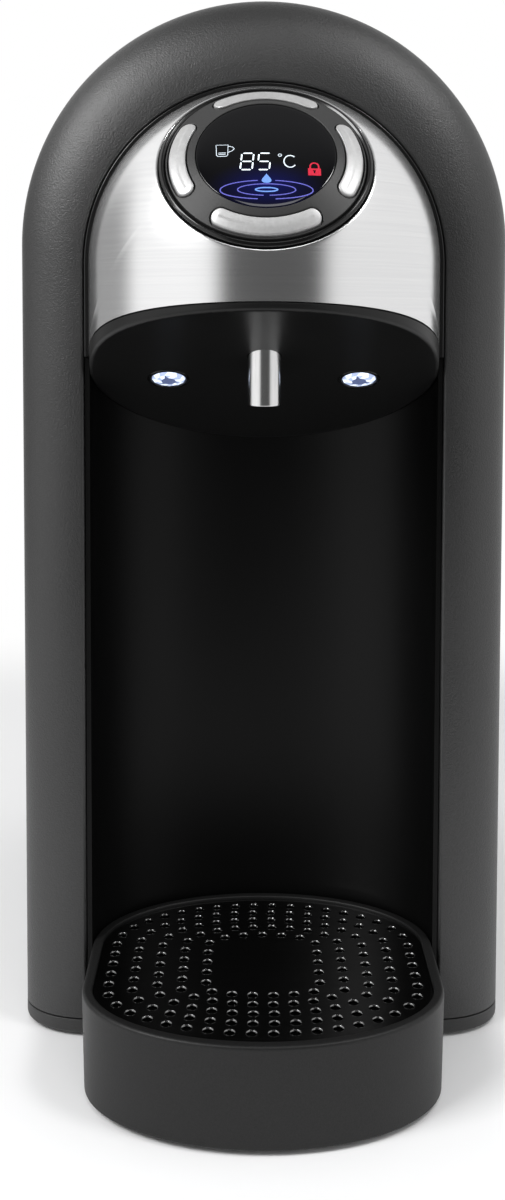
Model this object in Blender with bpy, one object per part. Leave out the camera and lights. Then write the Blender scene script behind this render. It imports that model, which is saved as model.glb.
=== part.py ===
"""Instant hot water dispenser with a removable rear tank and a drip tray.

Metres, +Z up, the front faces -Y. Every piece is modelled from the bay axis: X = 0 is the middle,
Y = 0 is the front plane of the housing and Z = 0 is the table. One empty then moves the whole
machine so that the middle of its footprint is the origin.
"""
import math

import bmesh
import bpy
from mathutils import Matrix, Vector

# Clearances that every piece shares
CLEAR = 0.0003
SEAM = 0.0006
OVERRUN = 0.002
SINK = 0.0005

# Housing
BODY_WIDTH = 0.170
BODY_HEIGHT = 0.3624
HOUSING_DEPTH = 0.158
SHELL_WALL = 0.0025
FRONT_ROUND_DEPTH = 0.017
OPENING_WIDTH = 0.123
OPENING_ARCH_DROP = 0.0069
LIP_DEPTH = 0.007
PANEL_WALL = 0.003

# Base plate, its tongue under the tray, feet and screws
FOOT_DROP = 0.0012
BASE_THICKNESS = 0.0051
BASE_CHAMFER = 0.0010
TONGUE_INSET = 0.0045
REAR_CORNER = 0.013
FOOT_RADIUS = 0.0070
FOOT_RECESS = 0.0010
FRONT_FOOT_X = 0.036
FRONT_FOOT_SETBACK = 0.026
REAR_FOOT_INSET = 0.019
REAR_FOOT_SETBACK = 0.020
SCREW_SHANK = 0.0016
SCREW_HEAD = 0.0032
SCREW_HEAD_HEIGHT = 0.0018
SCREW_CROWN_SHARE = 0.7
SCREW_LENGTH = 0.0130
BOSS_RADIUS = 0.0052
BOSS_LENGTH = 0.0180
BOSS_SINK = 0.0012
FRONT_SCREW_Y = 0.045
REAR_SCREW_SETBACK = 0.016
TOP_SCREW_ANGLE = math.radians(52)

# Bay and head
LINER_WALL = 0.0016
LINER_SETBACK = 0.0010
BAY_DEPTH = 0.0405
TRIM_WIDTH = 0.0024
TRIM_DEPTH = 0.0080
TRIM_SHELF = 0.0026
TRIM_PROUD = 0.0006
FASCIA_WALL = 0.0008
UNDERSIDE_DROP = 0.0157
UNDERSIDE_SLOPE = 0.2335
UNDERSIDE_SAG = 0.0086
UNDERSIDE_WALL = 0.0025
RIM_FRONT = 0.0025
RIM_SIDE = 0.0065
RIM_WALL = 0.0022
UNDERSIDE_RING_SHARES = (0.2, 0.6)

# Control panel, measured from the centre of the dome
PANEL_TILT = math.radians(36.95)
PANEL_RADIUS = 0.0330
BEZEL_WIDTH = 0.0018
BEZEL_PROUD = 0.0009
BEZEL_FLANGE = 0.0022
BEZEL_FLANGE_WALL = 0.0012
RING_SLOPE = 0.39
RING_WALL = 0.0020
RING_SKIRT = 0.0010
DISPLAY_RADIUS = 0.0214
LENS_WALL = 0.0020
LENS_CROWN = 0.0009
LENS_RECESS = 0.0003
BOARD_WALL = 0.0016
SCREEN_HEIGHT = 0.0035
BUTTON_INNER = 0.0247
BUTTON_OUTER = 0.0299
BUTTON_PROUD = 0.0005
BUTTON_FLANGE = 0.0008
BUTTON_FLANGE_WALL = 0.0008
BUTTON_TRAVEL = 0.0008
BUTTON_TIP_SHARE = 0.2
BUTTON_ANGLES = {"dispense": 90, "lock": -90, "temperature": 180, "volume": 0}
BUTTON_HALF_SWEEPS = {"dispense": 36, "lock": 36, "temperature": 32, "volume": 32}
SWITCH_RADIUS = 0.0016

# Spout and lamps
SPOUT_RADIUS = 0.0056
SPOUT_BORE = 0.0040
SPOUT_AHEAD = 0.0149
SPOUT_DROP = 0.0469
SPOUT_CHAMFER = 0.0005
SPOUT_COLLAR = 0.0018
SPOUT_COLLAR_HEIGHT = 0.0020
LAMP_X = 0.0326
LAMP_Y = 0.0016
LAMP_RADIUS = 0.0057
LAMP_PROUD = 0.0009
LAMP_FLANGE = 0.0012
LAMP_DEPTH = 0.0055
LAMP_BOARD_WIDTH = 0.012
LAMP_BOARD_MARGIN = 0.008

# Drip tray and its cover
TRAY_REACH = 0.0656
TRAY_FRONT_CURVE = 0.0362
TRAY_HEIGHT = 0.0346
TRAY_SIDE_GAP = 0.0024
TRAY_BACK_GAP = 0.0015
TRAY_SKIRT_Z = 0.0018
TRAY_WALL = 0.0022
TRAY_DRAFT = 0.0006
TRAY_FLOOR = 0.0022
TRAY_RIM = 0.0034
TRAY_RIM_ROUND = 0.0008
COVER_RECESS = 0.0010
COVER_WALL = 0.0012
LEDGE_WIDTH = 0.0018
LEDGE_HEIGHT = 0.0010
LEDGE_TAPER = 0.0026
HOLE_RADIUS = 0.0017
HOLE_PITCH = 0.0068
HOLE_ROW_SIDE = 0.0080
HOLE_ROW_FRONT = 0.0056
HOLE_MARGIN_SIDE = 0.0083
HOLE_MARGIN_FRONT = 0.0094

# Tank, lid, dock and valve
TANK_DEPTH = 0.058
TANK_GAP = 0.0005
TANK_SIDE_INSET = 0.0006
TANK_FLOOR_Z = 0.0240
TANK_WALL = 0.0022
TANK_FLOOR = 0.0025
TANK_ROUND = 0.0015
TANK_FRONT_CORNER = 0.0030
LID_RISE = 0.0060
LID_SKIRT = 0.0050
LID_SKIRT_WALL = 0.0016
LID_TAB = 0.0040
LID_TAB_WIDTH = 0.0300
LID_TAB_WALL = 0.0020
DOCK_WALL = 0.0025
OUTLET_X = 0.030
NOSE_RADIUS = 0.0090
NOSE_LENGTH = 0.0095
NOSE_BORE = 0.0041
THROAT_BORE = 0.0031
THROAT_LENGTH = 0.0022
SOCKET_GAP = 0.0013
SOCKET_WALL = 0.0020
SOCKET_FLOOR_GAP = 0.0020
PIN_RADIUS = 0.0014
VALVE_LIFT = 0.0030
STEM_RADIUS = 0.0020
VALVE_HEAD_RADIUS = 0.0060
VALVE_HEAD_WALL = 0.0015
VALVE_SEAL_WALL = 0.0012
STEM_REACH = 0.0030
COLLAR_WALL = 0.0010
SPRING_WIRE = 0.0003
SPRING_TURNS = 4
SPRING_SIDES = 4
DOCK_SEAL_WALL = 0.0016
DOCK_SEAL_DEPTH = 0.0030
BARB_RADIUS = 0.0040
BARB_REACH = 0.0080
GLAND_BORE = 0.0034
GLAND_RADIUS = 0.0050
GLAND_FLANGE = 0.0012
GLAND_FLANGE_WALL = 0.0014
GLAND_INSET = 0.030

# Water path and electrics inside the housing
HOSE_RADIUS = 0.0040
HOSE_LEAD_SHARE = 0.7
PORT_RADIUS = 0.0035
PORT_LENGTH = 0.0070
PUMP_X = 0.042
PUMP_RADIUS = 0.0170
PUMP_MOTOR_RADIUS = 0.0138
PUMP_HEAD_LENGTH = 0.020
PUMP_MOTOR_LENGTH = 0.030
PUMP_LIFT = 0.0040
PUMP_SETBACK = 0.030
SADDLE_LENGTH = 0.012
SADDLE_WALL = 0.0030
SADDLE_EDGE = math.radians(20)
SADDLE_STEPS = 8
METER_X = 0.002
METER_RADIUS = 0.0110
METER_HEIGHT = 0.0130
METER_POST_RADIUS = 0.0050
METER_POST_HEIGHT = 0.0100
HEATER_X = 0.040
HEATER_RADIUS = 0.0215
HEATER_FLANGE = 0.0020
HEATER_FLANGE_WALL = 0.0040
HEATER_LENGTH = 0.110
HEATER_LIFT = 0.060
BRACKET_WALL = 0.0015
BRACKET_WIDTH = 0.030
BRACKET_FOOT = 0.020
CUTOUT_RADIUS = 0.0080
CUTOUT_WALL = 0.0050
CUTOUT_NECK_RADIUS = 0.0045
CUTOUT_NECK = 0.0030
CUTOUT_SHARES = (0.35, 0.70)
SENSOR_RADIUS = 0.0030
SENSOR_LENGTH = 0.0120
SENSOR_OFFSET = 0.0120
SENSOR_FLANGE_SHARE = 1.5
CHAMBER_RADIUS = 0.0160
CHAMBER_HEIGHT = 0.0240
MAIN_BOARD_X = 0.020
MAIN_BOARD_WIDTH = 0.080
MAIN_BOARD_HEIGHT = 0.095
MAIN_BOARD_LIFT = 0.150
BOARD_PART_SHARES = ((-0.38, 0.12, 0.22, 0.20, 0.18), (-0.38, 0.55, 0.20, 0.32, 0.24),
                     (0.08, 0.12, 0.28, 0.18, 0.16))
CAPACITOR_PLACE_SHARES = (0.22, 0.7)
CAPACITOR_RADIUS = 0.0056
CAPACITOR_LENGTH = 0.016
STANDOFF_RADIUS = 0.0030
STANDOFF_LENGTH = 0.0060
STANDOFF_INSET = 0.0060
VENT_WIDTH = 0.0030
VENT_LENGTH = 0.0240
VENT_PITCH = 0.0080
VENT_COUNT = 6
VENT_Z = 0.080

# Facets and how finely curves are cut
ARCH_STEPS = 18
LID_ARCH_STEPS = 14
ROUND_STEPS = 5
CORNER_STEPS = 4
BAY_STEPS = 20
DOME_TURN_STEPS = 18
DOME_RISE_STEPS = 8
PANEL_STEPS = 28
SMALL_STEPS = 12
TINY_STEPS = 8
HOSE_STEPS = 9
SHORT_HOSE_STEPS = 5
TRACK_STEPS = 60
TRAY_STEPS = 8
HOLE_SIDES = 5
SMOOTH_ANGLE = math.radians(32)
MERGE_DISTANCE = CLEAR / 100

# Sizes that follow from the ones above
HALF_WIDTH = BODY_WIDTH / 2
ARCH_Z = BODY_HEIGHT - HALF_WIDTH
OPENING_RADIUS = OPENING_WIDTH / 2
DOME_Z = ARCH_Z - OPENING_ARCH_DROP
DOME_RADIUS = OPENING_RADIUS - TRIM_WIDTH
BASE_TOP = FOOT_DROP + BASE_THICKNESS
SHELL_BOTTOM = BASE_TOP + SEAM
MACHINE_DEPTH = HOUSING_DEPTH + TANK_DEPTH
TOTAL_DEPTH = TRAY_REACH + MACHINE_DEPTH + LID_TAB
LINER_INNER = OPENING_RADIUS - CLEAR - LINER_WALL
TRAY_HALF_WIDTH = OPENING_RADIUS - TRAY_SIDE_GAP
TRAY_CURVE_Y = TRAY_FRONT_CURVE - TRAY_REACH
TRAY_BACK = BAY_DEPTH - TRAY_BACK_GAP
COVER_TOP = TRAY_HEIGHT - COVER_RECESS
COVER_BOTTOM = COVER_TOP - COVER_WALL
LEDGE_Z = COVER_BOTTOM - CLEAR
LINER_TOP = DOME_Z - UNDERSIDE_DROP - UNDERSIDE_SLOPE * DOME_RADIUS - UNDERSIDE_SAG + RIM_SIDE
TANK_HALF_WIDTH = HALF_WIDTH - TANK_SIDE_INSET
TANK_FRONT = HOUSING_DEPTH + TANK_GAP
TANK_BACK = MACHINE_DEPTH
TANK_MID = (TANK_FRONT + TANK_BACK) / 2
TANK_TOP = ARCH_Z + LID_RISE
DOCK_TOP = TANK_FLOOR_Z - CLEAR
NOSE_Z = TANK_FLOOR_Z - NOSE_LENGTH
SEAT_Z = TANK_FLOOR_Z + TANK_FLOOR
SOCKET_RADIUS = NOSE_RADIUS + SOCKET_GAP
SOCKET_Z = NOSE_Z - SOCKET_FLOOR_GAP
PIN_TOP = NOSE_Z + STEM_REACH - CLEAR
PANEL_RIM = math.sqrt(DOME_RADIUS ** 2 - PANEL_RADIUS ** 2)
BEZEL_INNER = PANEL_RADIUS - BEZEL_WIDTH
RING_OUTER = BEZEL_INNER - CLEAR
RING_INNER = DISPLAY_RADIUS + CLEAR
INTERIOR_BACK = HOUSING_DEPTH - PANEL_WALL
INTERIOR_MID = (BAY_DEPTH + LINER_WALL + INTERIOR_BACK) / 2


# Building blocks

def clear_scene():
    """Start from an empty file."""
    for thing in list(bpy.data.objects):
        bpy.data.objects.remove(thing, do_unlink=True)


def finish(name, colour, roughness, metallic=0.0, alpha=1.0):
    """A plain Principled material."""
    made = bpy.data.materials.new(name)
    made.use_nodes = True
    shader = made.node_tree.nodes["Principled BSDF"]
    shader.inputs["Base Color"].default_value = (*colour, 1.0)
    shader.inputs["Roughness"].default_value = roughness
    shader.inputs["Metallic"].default_value = metallic
    shader.inputs["Alpha"].default_value = alpha
    return made


def add_object(name, shape, surface, hidden=False):
    """Turn a bmesh into a named object under the machine's empty."""
    bmesh.ops.recalc_face_normals(shape, faces=shape.faces)
    mesh = bpy.data.meshes.new(name)
    shape.to_mesh(mesh)
    shape.free()
    mesh.shade_smooth()
    mesh.set_sharp_from_angle(angle=SMOOTH_ANGLE)
    piece = bpy.data.objects.new(name, mesh)
    bpy.context.scene.collection.objects.link(piece)
    piece.parent = MACHINE
    if surface is not None:
        mesh.materials.append(surface)
    if hidden:
        piece.hide_render = True
        piece.display_type = "WIRE"
    return piece


def set_origin(piece, point):
    """Put the object's origin at a point, with its mesh left where it is."""
    piece.data.transform(Matrix.Translation(-Vector(point)))
    piece.location = point


def skin(sections, wrap=False):
    """A closed body through matching closed sections, capped unless it wraps round."""
    shape = bmesh.new()
    loops = [[shape.verts.new(point) for point in section] for section in sections]
    pairs = list(zip(loops, loops[1:]))
    if wrap:
        pairs.append((loops[-1], loops[0]))
    for first, second in pairs:
        count = len(first)
        for i in range(count):
            j = (i + 1) % count
            shape.faces.new((first[i], first[j], second[j], second[i]))
    if not wrap:
        shape.faces.new(loops[0])
        shape.faces.new(loops[-1])
    return shape


def turned(profile, steps=SMALL_STEPS, frame=None):
    """Revolve a closed profile of (radius, height) points about the frame's own Z axis."""
    shape = bmesh.new()
    points = [shape.verts.new((radius, 0, height)) for radius, height in profile]
    edges = [shape.edges.new((points[i - 1], points[i])) for i in range(len(points))]
    bmesh.ops.spin(shape, geom=points + edges, cent=(0, 0, 0), axis=(0, 0, 1), dvec=(0, 0, 0),
                   angle=math.tau, steps=steps, use_merge=True)
    bmesh.ops.remove_doubles(shape, verts=shape.verts, dist=MERGE_DISTANCE)
    if frame is not None:
        bmesh.ops.transform(shape, matrix=frame, verts=shape.verts)
    return shape


def plate(outline, low, high, holes=(), frame=None):
    """Extrude a flat outline, with any holes, from one height to another."""
    shape = bmesh.new()
    edges = []
    for loop in (outline, *holes):
        points = [shape.verts.new((x, y, low)) for x, y in loop]
        edges += [shape.edges.new((points[i - 1], points[i])) for i in range(len(points))]
    if holes:
        bmesh.ops.triangle_fill(shape, edges=edges, use_beauty=True)
    else:
        bmesh.ops.contextual_create(shape, geom=edges)
    bmesh.ops.recalc_face_normals(shape, faces=shape.faces)
    grown = bmesh.ops.extrude_face_region(shape, geom=list(shape.faces))
    moved = [part for part in grown["geom"] if isinstance(part, bmesh.types.BMVert)]
    bmesh.ops.translate(shape, verts=moved, vec=(0, 0, high - low))
    if frame is not None:
        bmesh.ops.transform(shape, matrix=frame, verts=shape.verts)
    return shape


def block(low, high):
    """A box between two corners."""
    corners = [(low[0], low[1]), (high[0], low[1]), (high[0], high[1]), (low[0], high[1])]
    return plate(corners, low[2], high[2])


def rod(radius, low, high, steps=TINY_STEPS, frame=None):
    """A round bar along the frame's Z axis."""
    return turned([(0, low), (radius, low), (radius, high), (0, high)], steps, frame)


def joined(shapes):
    """Several separate bodies in one bmesh, for use as one cutter or one set of bosses."""
    whole = bmesh.new()
    for shape in shapes:
        bmesh.ops.recalc_face_normals(shape, faces=shape.faces)
        scrap = bpy.data.meshes.new("scrap")
        shape.to_mesh(scrap)
        shape.free()
        whole.from_mesh(scrap)
        bpy.data.meshes.remove(scrap)
    return whole


def boolean(piece, shapes, operation):
    """Cut shapes out of a piece, or join them to it, with one hidden guide object."""
    name = piece.name + "_" + operation.lower() + "_guide"
    guide = add_object(name, joined(shapes), None, hidden=True)
    step = piece.modifiers.new(operation.title(), "BOOLEAN")
    step.operation = operation
    step.solver = "EXACT"
    step.object = guide


def cut(piece, *shapes):
    boolean(piece, shapes, "DIFFERENCE")


def join(piece, *shapes):
    boolean(piece, shapes, "UNION")


def along(origin, direction):
    """A frame whose Z axis points along a direction."""
    turn = Vector((0, 0, 1)).rotation_difference(Vector(direction)).to_matrix().to_4x4()
    return Matrix.Translation(origin) @ turn


def shares(count):
    """Even steps from 0 to 1, both ends counted."""
    return [step / count for step in range(count + 1)]


def circle(radius, steps, centre=(0, 0)):
    """Points round a flat circle."""
    turns = [math.tau * step / steps for step in range(steps)]
    x, y = centre
    return [(x + radius * math.cos(turn), y + radius * math.sin(turn)) for turn in turns]


def both_sides(half):
    """Close a right-hand outline, which starts and ends on the middle line, with its mirror image."""
    return half + [(-x, y) for x, y in reversed(half) if x > CLEAR]


# Outlines that several pieces share

def arch(radius, centre_z, low_z, steps=ARCH_STEPS):
    """Left foot, over the top, to the right foot: (x, z) points of a round arch on straight sides."""
    points = []
    if low_z < centre_z:
        points.append((-radius, low_z))
        start = 0.0
    else:
        start = math.asin((low_z - centre_z) / radius)
    for share in shares(steps):
        turn = start + (math.pi - 2 * start) * share
        points.append((-radius * math.cos(turn), centre_z + radius * math.sin(turn)))
    if low_z < centre_z:
        points.append((radius, low_z))
    return points


def body_plan(inset):
    """Base outline: tongue under the tray, rounded front shoulders and rounded rear corners."""
    tongue_x = TRAY_HALF_WIDTH - TONGUE_INSET - inset
    tongue_depth = TRAY_FRONT_CURVE - TONGUE_INSET - inset
    half = []
    for share in shares(TRAY_STEPS):
        turn = math.pi / 2 * share
        half.append((tongue_x * math.sin(turn), TRAY_CURVE_Y - tongue_depth * math.cos(turn)))
    half.append((tongue_x, inset))
    for share in shares(CORNER_STEPS):
        turn = math.pi / 2 * share
        reach = (HALF_WIDTH - OPENING_RADIUS - inset) * math.sin(turn)
        half.append((OPENING_RADIUS + reach, inset + (FRONT_ROUND_DEPTH - inset) * (1 - math.cos(turn))))
    half += rear_corner(inset)
    half.append((0, MACHINE_DEPTH - inset))
    return both_sides(half)


def rear_corner(inset):
    """Right-hand rear corner, from the side to the back."""
    corner = REAR_CORNER - inset
    middle_x = HALF_WIDTH - REAR_CORNER
    middle_y = MACHINE_DEPTH - REAR_CORNER
    turns = [math.pi / 2 * share for share in shares(CORNER_STEPS)]
    return [(middle_x + corner * math.cos(turn), middle_y + corner * math.sin(turn)) for turn in turns]


def tank_plan(inset):
    """Tank outline: small front corners, and rear corners that follow the base."""
    front = max(TANK_FRONT_CORNER - inset, CLEAR)
    rear = REAR_CORNER - inset
    side = TANK_HALF_WIDTH - inset
    half = [(0, TANK_FRONT + inset)]
    for share in shares(2):
        turn = math.pi / 2 * share
        across = side - front * (1 - math.sin(turn))
        half.append((across, TANK_FRONT + inset + front * (1 - math.cos(turn))))
    for share in shares(CORNER_STEPS):
        turn = math.pi / 2 * share
        across = side - rear * (1 - math.cos(turn))
        half.append((across, TANK_BACK - inset - rear * (1 - math.sin(turn))))
    half.append((0, TANK_BACK - inset))
    return both_sides(half)


def tray_plan(inset):
    """Tray outline: half ellipse in front, straight sides, half ellipse behind."""
    across = TRAY_HALF_WIDTH - inset
    front = TRAY_FRONT_CURVE - inset
    back = TRAY_BACK - inset
    half = []
    for share in shares(TRAY_STEPS):
        turn = math.pi / 2 * share
        half.append((across * math.sin(turn), TRAY_CURVE_Y - front * math.cos(turn)))
    for share in shares(TRAY_STEPS):
        turn = math.pi / 2 * share
        half.append((across * math.cos(turn), back * math.sin(turn)))
    return both_sides([(max(x, 0) if x > CLEAR else 0, y) for x, y in half])


def underside_z(y):
    """Height of the head's slanted, slightly curved underside."""
    run = y + DOME_RADIUS
    sag = UNDERSIDE_SAG * (run / DOME_RADIUS) ** 2
    return DOME_Z - UNDERSIDE_DROP - UNDERSIDE_SLOPE * run - sag


def rim_z(y):
    """Top of the underside's black rim, where the steel starts."""
    share = min((y + DOME_RADIUS) / DOME_RADIUS, 1.0)
    return underside_z(y) + RIM_FRONT + (RIM_SIDE - RIM_FRONT) * share


def ring_z(radius):
    """Height of the control ring's sloping face along the panel's axis."""
    return PANEL_RIM + RING_SLOPE * (PANEL_RADIUS - radius)


def panel_frame():
    """The control panel's frame: Z along its axis, X to the right, centre of the dome as origin."""
    return Matrix.Translation((0, 0, DOME_Z)) @ Matrix.Rotation(math.pi / 2 - PANEL_TILT, 4, "X")


def lamp_frame(x):
    """A lamp's frame: Z points out of the underside."""
    step = CLEAR
    slope = (underside_z(LAMP_Y + step) - underside_z(LAMP_Y - step)) / (2 * step)
    return along((x, LAMP_Y, underside_z(LAMP_Y)), (0, slope, -1))


# Housing

def shell_section(inner, outer):
    """The shell's wall at one place of the arch, from the rear edge to the lip and back."""
    start = Vector((inner[0], 0, inner[1]))
    across = Vector((outer[0], 0, outer[1])) - start
    inward = across.normalized() * SHELL_WALL
    hollow = FRONT_ROUND_DEPTH - SHELL_WALL
    outside = []
    inside = []
    for share in shares(ROUND_STEPS):
        turn = math.pi / 2 * share
        rise = 1 - math.cos(turn)
        outside.append(start + across * math.sin(turn) + Vector((0, FRONT_ROUND_DEPTH * rise, 0)))
        reach = inward + (across - 2 * inward) * math.sin(turn)
        inside.append(start + reach + Vector((0, SHELL_WALL + hollow * rise, 0)))
    back = Vector((0, HOUSING_DEPTH, 0))
    lip = Vector((0, LIP_DEPTH, 0))
    outside = [start + across + back, *reversed(outside), start + lip]
    return [*outside, start + inward + lip, *inside, start + across - inward + back]


def front_shell(surface):
    """Arch housing with a rounded front band and an inward lip round the opening."""
    outer = arch(HALF_WIDTH, ARCH_Z, SHELL_BOTTOM)
    inner = arch(OPENING_RADIUS, DOME_Z, SHELL_BOTTOM)
    sections = [shell_section(*places) for places in zip(inner, outer)]
    shell = add_object("front_shell", skin(sections), surface)
    posts = []
    holes = []
    low = SHELL_BOTTOM - OVERRUN
    for x, y in screw_places():
        posts.append(rod(BOSS_RADIUS, SHELL_BOTTOM, SHELL_BOTTOM + BOSS_LENGTH, frame=at(x, y)))
        holes.append(rod(SCREW_SHANK + CLEAR, low, base_screw_tip() + CLEAR, frame=at(x, y)))
    for frame in top_screw_frames():
        reach = SCREW_LENGTH + OVERRUN
        posts.append(rod(BOSS_RADIUS, -reach, -CLEAR, frame=frame))
        holes.append(rod(SCREW_SHANK + CLEAR, -SCREW_LENGTH, OVERRUN, frame=frame))
    join(shell, *posts)
    cut(shell, *holes)
    return shell


def at(x, y, z=0.0):
    """A frame that is only moved."""
    return Matrix.Translation((x, y, z))


def screw_places():
    """Where the base screws stand, close to the shell's side walls."""
    x = HALF_WIDTH - SHELL_WALL - BOSS_RADIUS + BOSS_SINK
    rows = (FRONT_SCREW_Y, INTERIOR_BACK - REAR_SCREW_SETBACK)
    return [(side * x, y) for side in (-1, 1) for y in rows]


def base_screw_tip():
    """How high a base screw reaches."""
    return FOOT_DROP + SCREW_HEAD_HEIGHT + SCREW_LENGTH


def top_screw_frames():
    """The two rear screws near the crown: Z points backwards, origin on the panel's inner face."""
    radius = HALF_WIDTH - SHELL_WALL - BOSS_RADIUS + BOSS_SINK
    x = radius * math.cos(TOP_SCREW_ANGLE)
    z = ARCH_Z + radius * math.sin(TOP_SCREW_ANGLE)
    return [along((side * x, INTERIOR_BACK, z), (0, 1, 0)) for side in (-1, 1)]


def base_plate(surface):
    """Moulded base with a tongue under the tray, foot recesses and screw holes."""
    levels = [(FOOT_DROP, BASE_CHAMFER), (FOOT_DROP + BASE_CHAMFER, 0.0), (BASE_TOP, 0.0)]
    sections = [[(x, y, z) for x, y in body_plan(inset)] for z, inset in levels]
    base = add_object("base_plate", skin(sections), surface)
    low = FOOT_DROP - OVERRUN
    recess = FOOT_DROP + FOOT_RECESS
    cuts = [rod(FOOT_RADIUS + CLEAR, low, recess, SMALL_STEPS, at(*place)) for place in foot_places()]
    for x, y in screw_places():
        head = SCREW_HEAD + CLEAR
        shank = SCREW_SHANK + CLEAR
        shoulder = FOOT_DROP + SCREW_HEAD_HEIGHT + CLEAR
        high = BASE_TOP + OVERRUN
        profile = [(0, low), (head, low), (head, shoulder), (shank, shoulder), (shank, high), (0, high)]
        cuts.append(turned(profile, TINY_STEPS, at(x, y)))
    cut(base, *cuts)
    return base


def foot_places():
    """Two feet under the tongue and two at the back."""
    front = (FRONT_FOOT_X, -TRAY_REACH + FRONT_FOOT_SETBACK)
    rear = (HALF_WIDTH - REAR_FOOT_INSET, MACHINE_DEPTH - REAR_FOOT_SETBACK)
    return [(side * x, y) for x, y in (front, rear) for side in (-1, 1)]


def feet(surface):
    """Four rubber feet, pressed into the base's recesses."""
    names = ("foot_front_left", "foot_front_right", "foot_rear_left", "foot_rear_right")
    top = FOOT_DROP + FOOT_RECESS - CLEAR
    profile = [(0, 0), (FOOT_RADIUS - FOOT_RECESS, 0), (FOOT_RADIUS, FOOT_RECESS),
               (FOOT_RADIUS, top), (0, top)]
    for name, (x, y) in zip(names, foot_places()):
        set_origin(add_object(name, turned(profile, SMALL_STEPS, at(x, y)), surface), (x, y, 0))


def screw_shape(frame):
    """Pan-head screw: origin under its head, shank along the frame's Z."""
    rise = SCREW_HEAD_HEIGHT
    profile = [(0, -rise), (SCREW_HEAD * SCREW_CROWN_SHARE, -rise), (SCREW_HEAD, -rise / 2),
               (SCREW_HEAD, 0), (SCREW_SHANK, 0), (SCREW_SHANK, SCREW_LENGTH - SCREW_SHANK),
               (0, SCREW_LENGTH - CLEAR)]
    return turned(profile, TINY_STEPS, frame)


def screws(surface):
    """Four screws up through the base and two through the rear panel."""
    for number, (x, y) in enumerate(screw_places(), 1):
        frame = at(x, y, FOOT_DROP + SCREW_HEAD_HEIGHT)
        add_object("base_screw_%d" % number, screw_shape(frame), surface)
    for number, frame in enumerate(top_screw_frames(), 1):
        seat = PANEL_WALL - SCREW_HEAD_HEIGHT - CLEAR
        inward = frame @ at(0, 0, seat) @ Matrix.Rotation(math.pi, 4, "X")
        add_object("rear_screw_%d" % number, screw_shape(inward), surface)


def rear_panel(surface):
    """Flat rear wall inside the shell, with standoffs, a hose opening, vents and screw holes."""
    radius = HALF_WIDTH - SHELL_WALL - CLEAR
    front = INTERIOR_BACK
    upright = Matrix.Rotation(math.pi / 2, 4, "X")
    outline = arch(radius, ARCH_Z, BASE_TOP + CLEAR)
    panel = add_object("rear_panel", plate(outline, -HOUSING_DEPTH, -front, frame=upright), surface)
    join(panel, *[rod(STANDOFF_RADIUS, -STANDOFF_LENGTH, SINK, frame=along((x, front, z), (0, 1, 0)))
                  for x, z in standoff_places()])
    cuts = [rod(BARB_RADIUS + CLEAR, -OVERRUN, PANEL_WALL + OVERRUN, SMALL_STEPS,
                along((OUTLET_X, front, barb_z()), (0, 1, 0)))]
    for frame in top_screw_frames():
        shank = SCREW_SHANK + CLEAR
        head = SCREW_HEAD + CLEAR
        seat = PANEL_WALL - SCREW_HEAD_HEIGHT - 2 * CLEAR
        high = PANEL_WALL + OVERRUN
        profile = [(0, -OVERRUN), (shank, -OVERRUN), (shank, seat), (head, seat), (head, high), (0, high)]
        cuts.append(turned(profile, TINY_STEPS, frame))
    for number in range(VENT_COUNT):
        z = VENT_Z + VENT_PITCH * number
        low = (-VENT_LENGTH / 2, front - OVERRUN, z)
        cuts.append(block(low, (VENT_LENGTH / 2, HOUSING_DEPTH + OVERRUN, z + VENT_WIDTH)))
    cut(panel, *cuts)
    return panel


def standoff_places():
    """The main board's four corners."""
    across = MAIN_BOARD_WIDTH / 2 - STANDOFF_INSET
    low = MAIN_BOARD_LIFT + STANDOFF_INSET
    high = MAIN_BOARD_LIFT + MAIN_BOARD_HEIGHT - STANDOFF_INSET
    return [(MAIN_BOARD_X + side * across, z) for side in (-1, 1) for z in (low, high)]


def bay_liner(surface):
    """Concave rear wall of the cup bay."""
    wall = []
    for radius, depth in ((LINER_INNER, BAY_DEPTH), (LINER_INNER + LINER_WALL, BAY_DEPTH + LINER_WALL)):
        side = []
        for share in shares(BAY_STEPS):
            turn = math.pi * share
            side.append((radius * math.cos(turn), max(depth * math.sin(turn), LINER_SETBACK)))
        wall.append(side)
    outline = wall[0] + wall[1][::-1]
    return add_object("bay_liner", plate(outline, BASE_TOP + CLEAR, LINER_TOP), surface)


# Head

def head_trim(surface):
    """Black arch between the shell's opening and the steel dome, with a shelf behind the steel."""
    low = LINER_TOP + CLEAR
    outer = OPENING_RADIUS - CLEAR
    band = DOME_RADIUS + CLEAR
    shelf = DOME_RADIUS - TRIM_SHELF
    profile = [(outer, -TRIM_PROUD), (outer, TRIM_DEPTH), (band, TRIM_DEPTH), (band, CLEAR + SHELL_WALL),
               (shelf, CLEAR + SHELL_WALL), (shelf, CLEAR), (band, CLEAR), (band, -TRIM_PROUD)]
    rails = [arch(radius, DOME_Z, low) for radius, depth in profile]
    depths = [depth for radius, depth in profile]
    sections = [[(x, depth, z) for (x, z), depth in zip(places, depths)] for places in zip(*rails)]
    return add_object("head_trim", skin(sections), surface)


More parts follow.
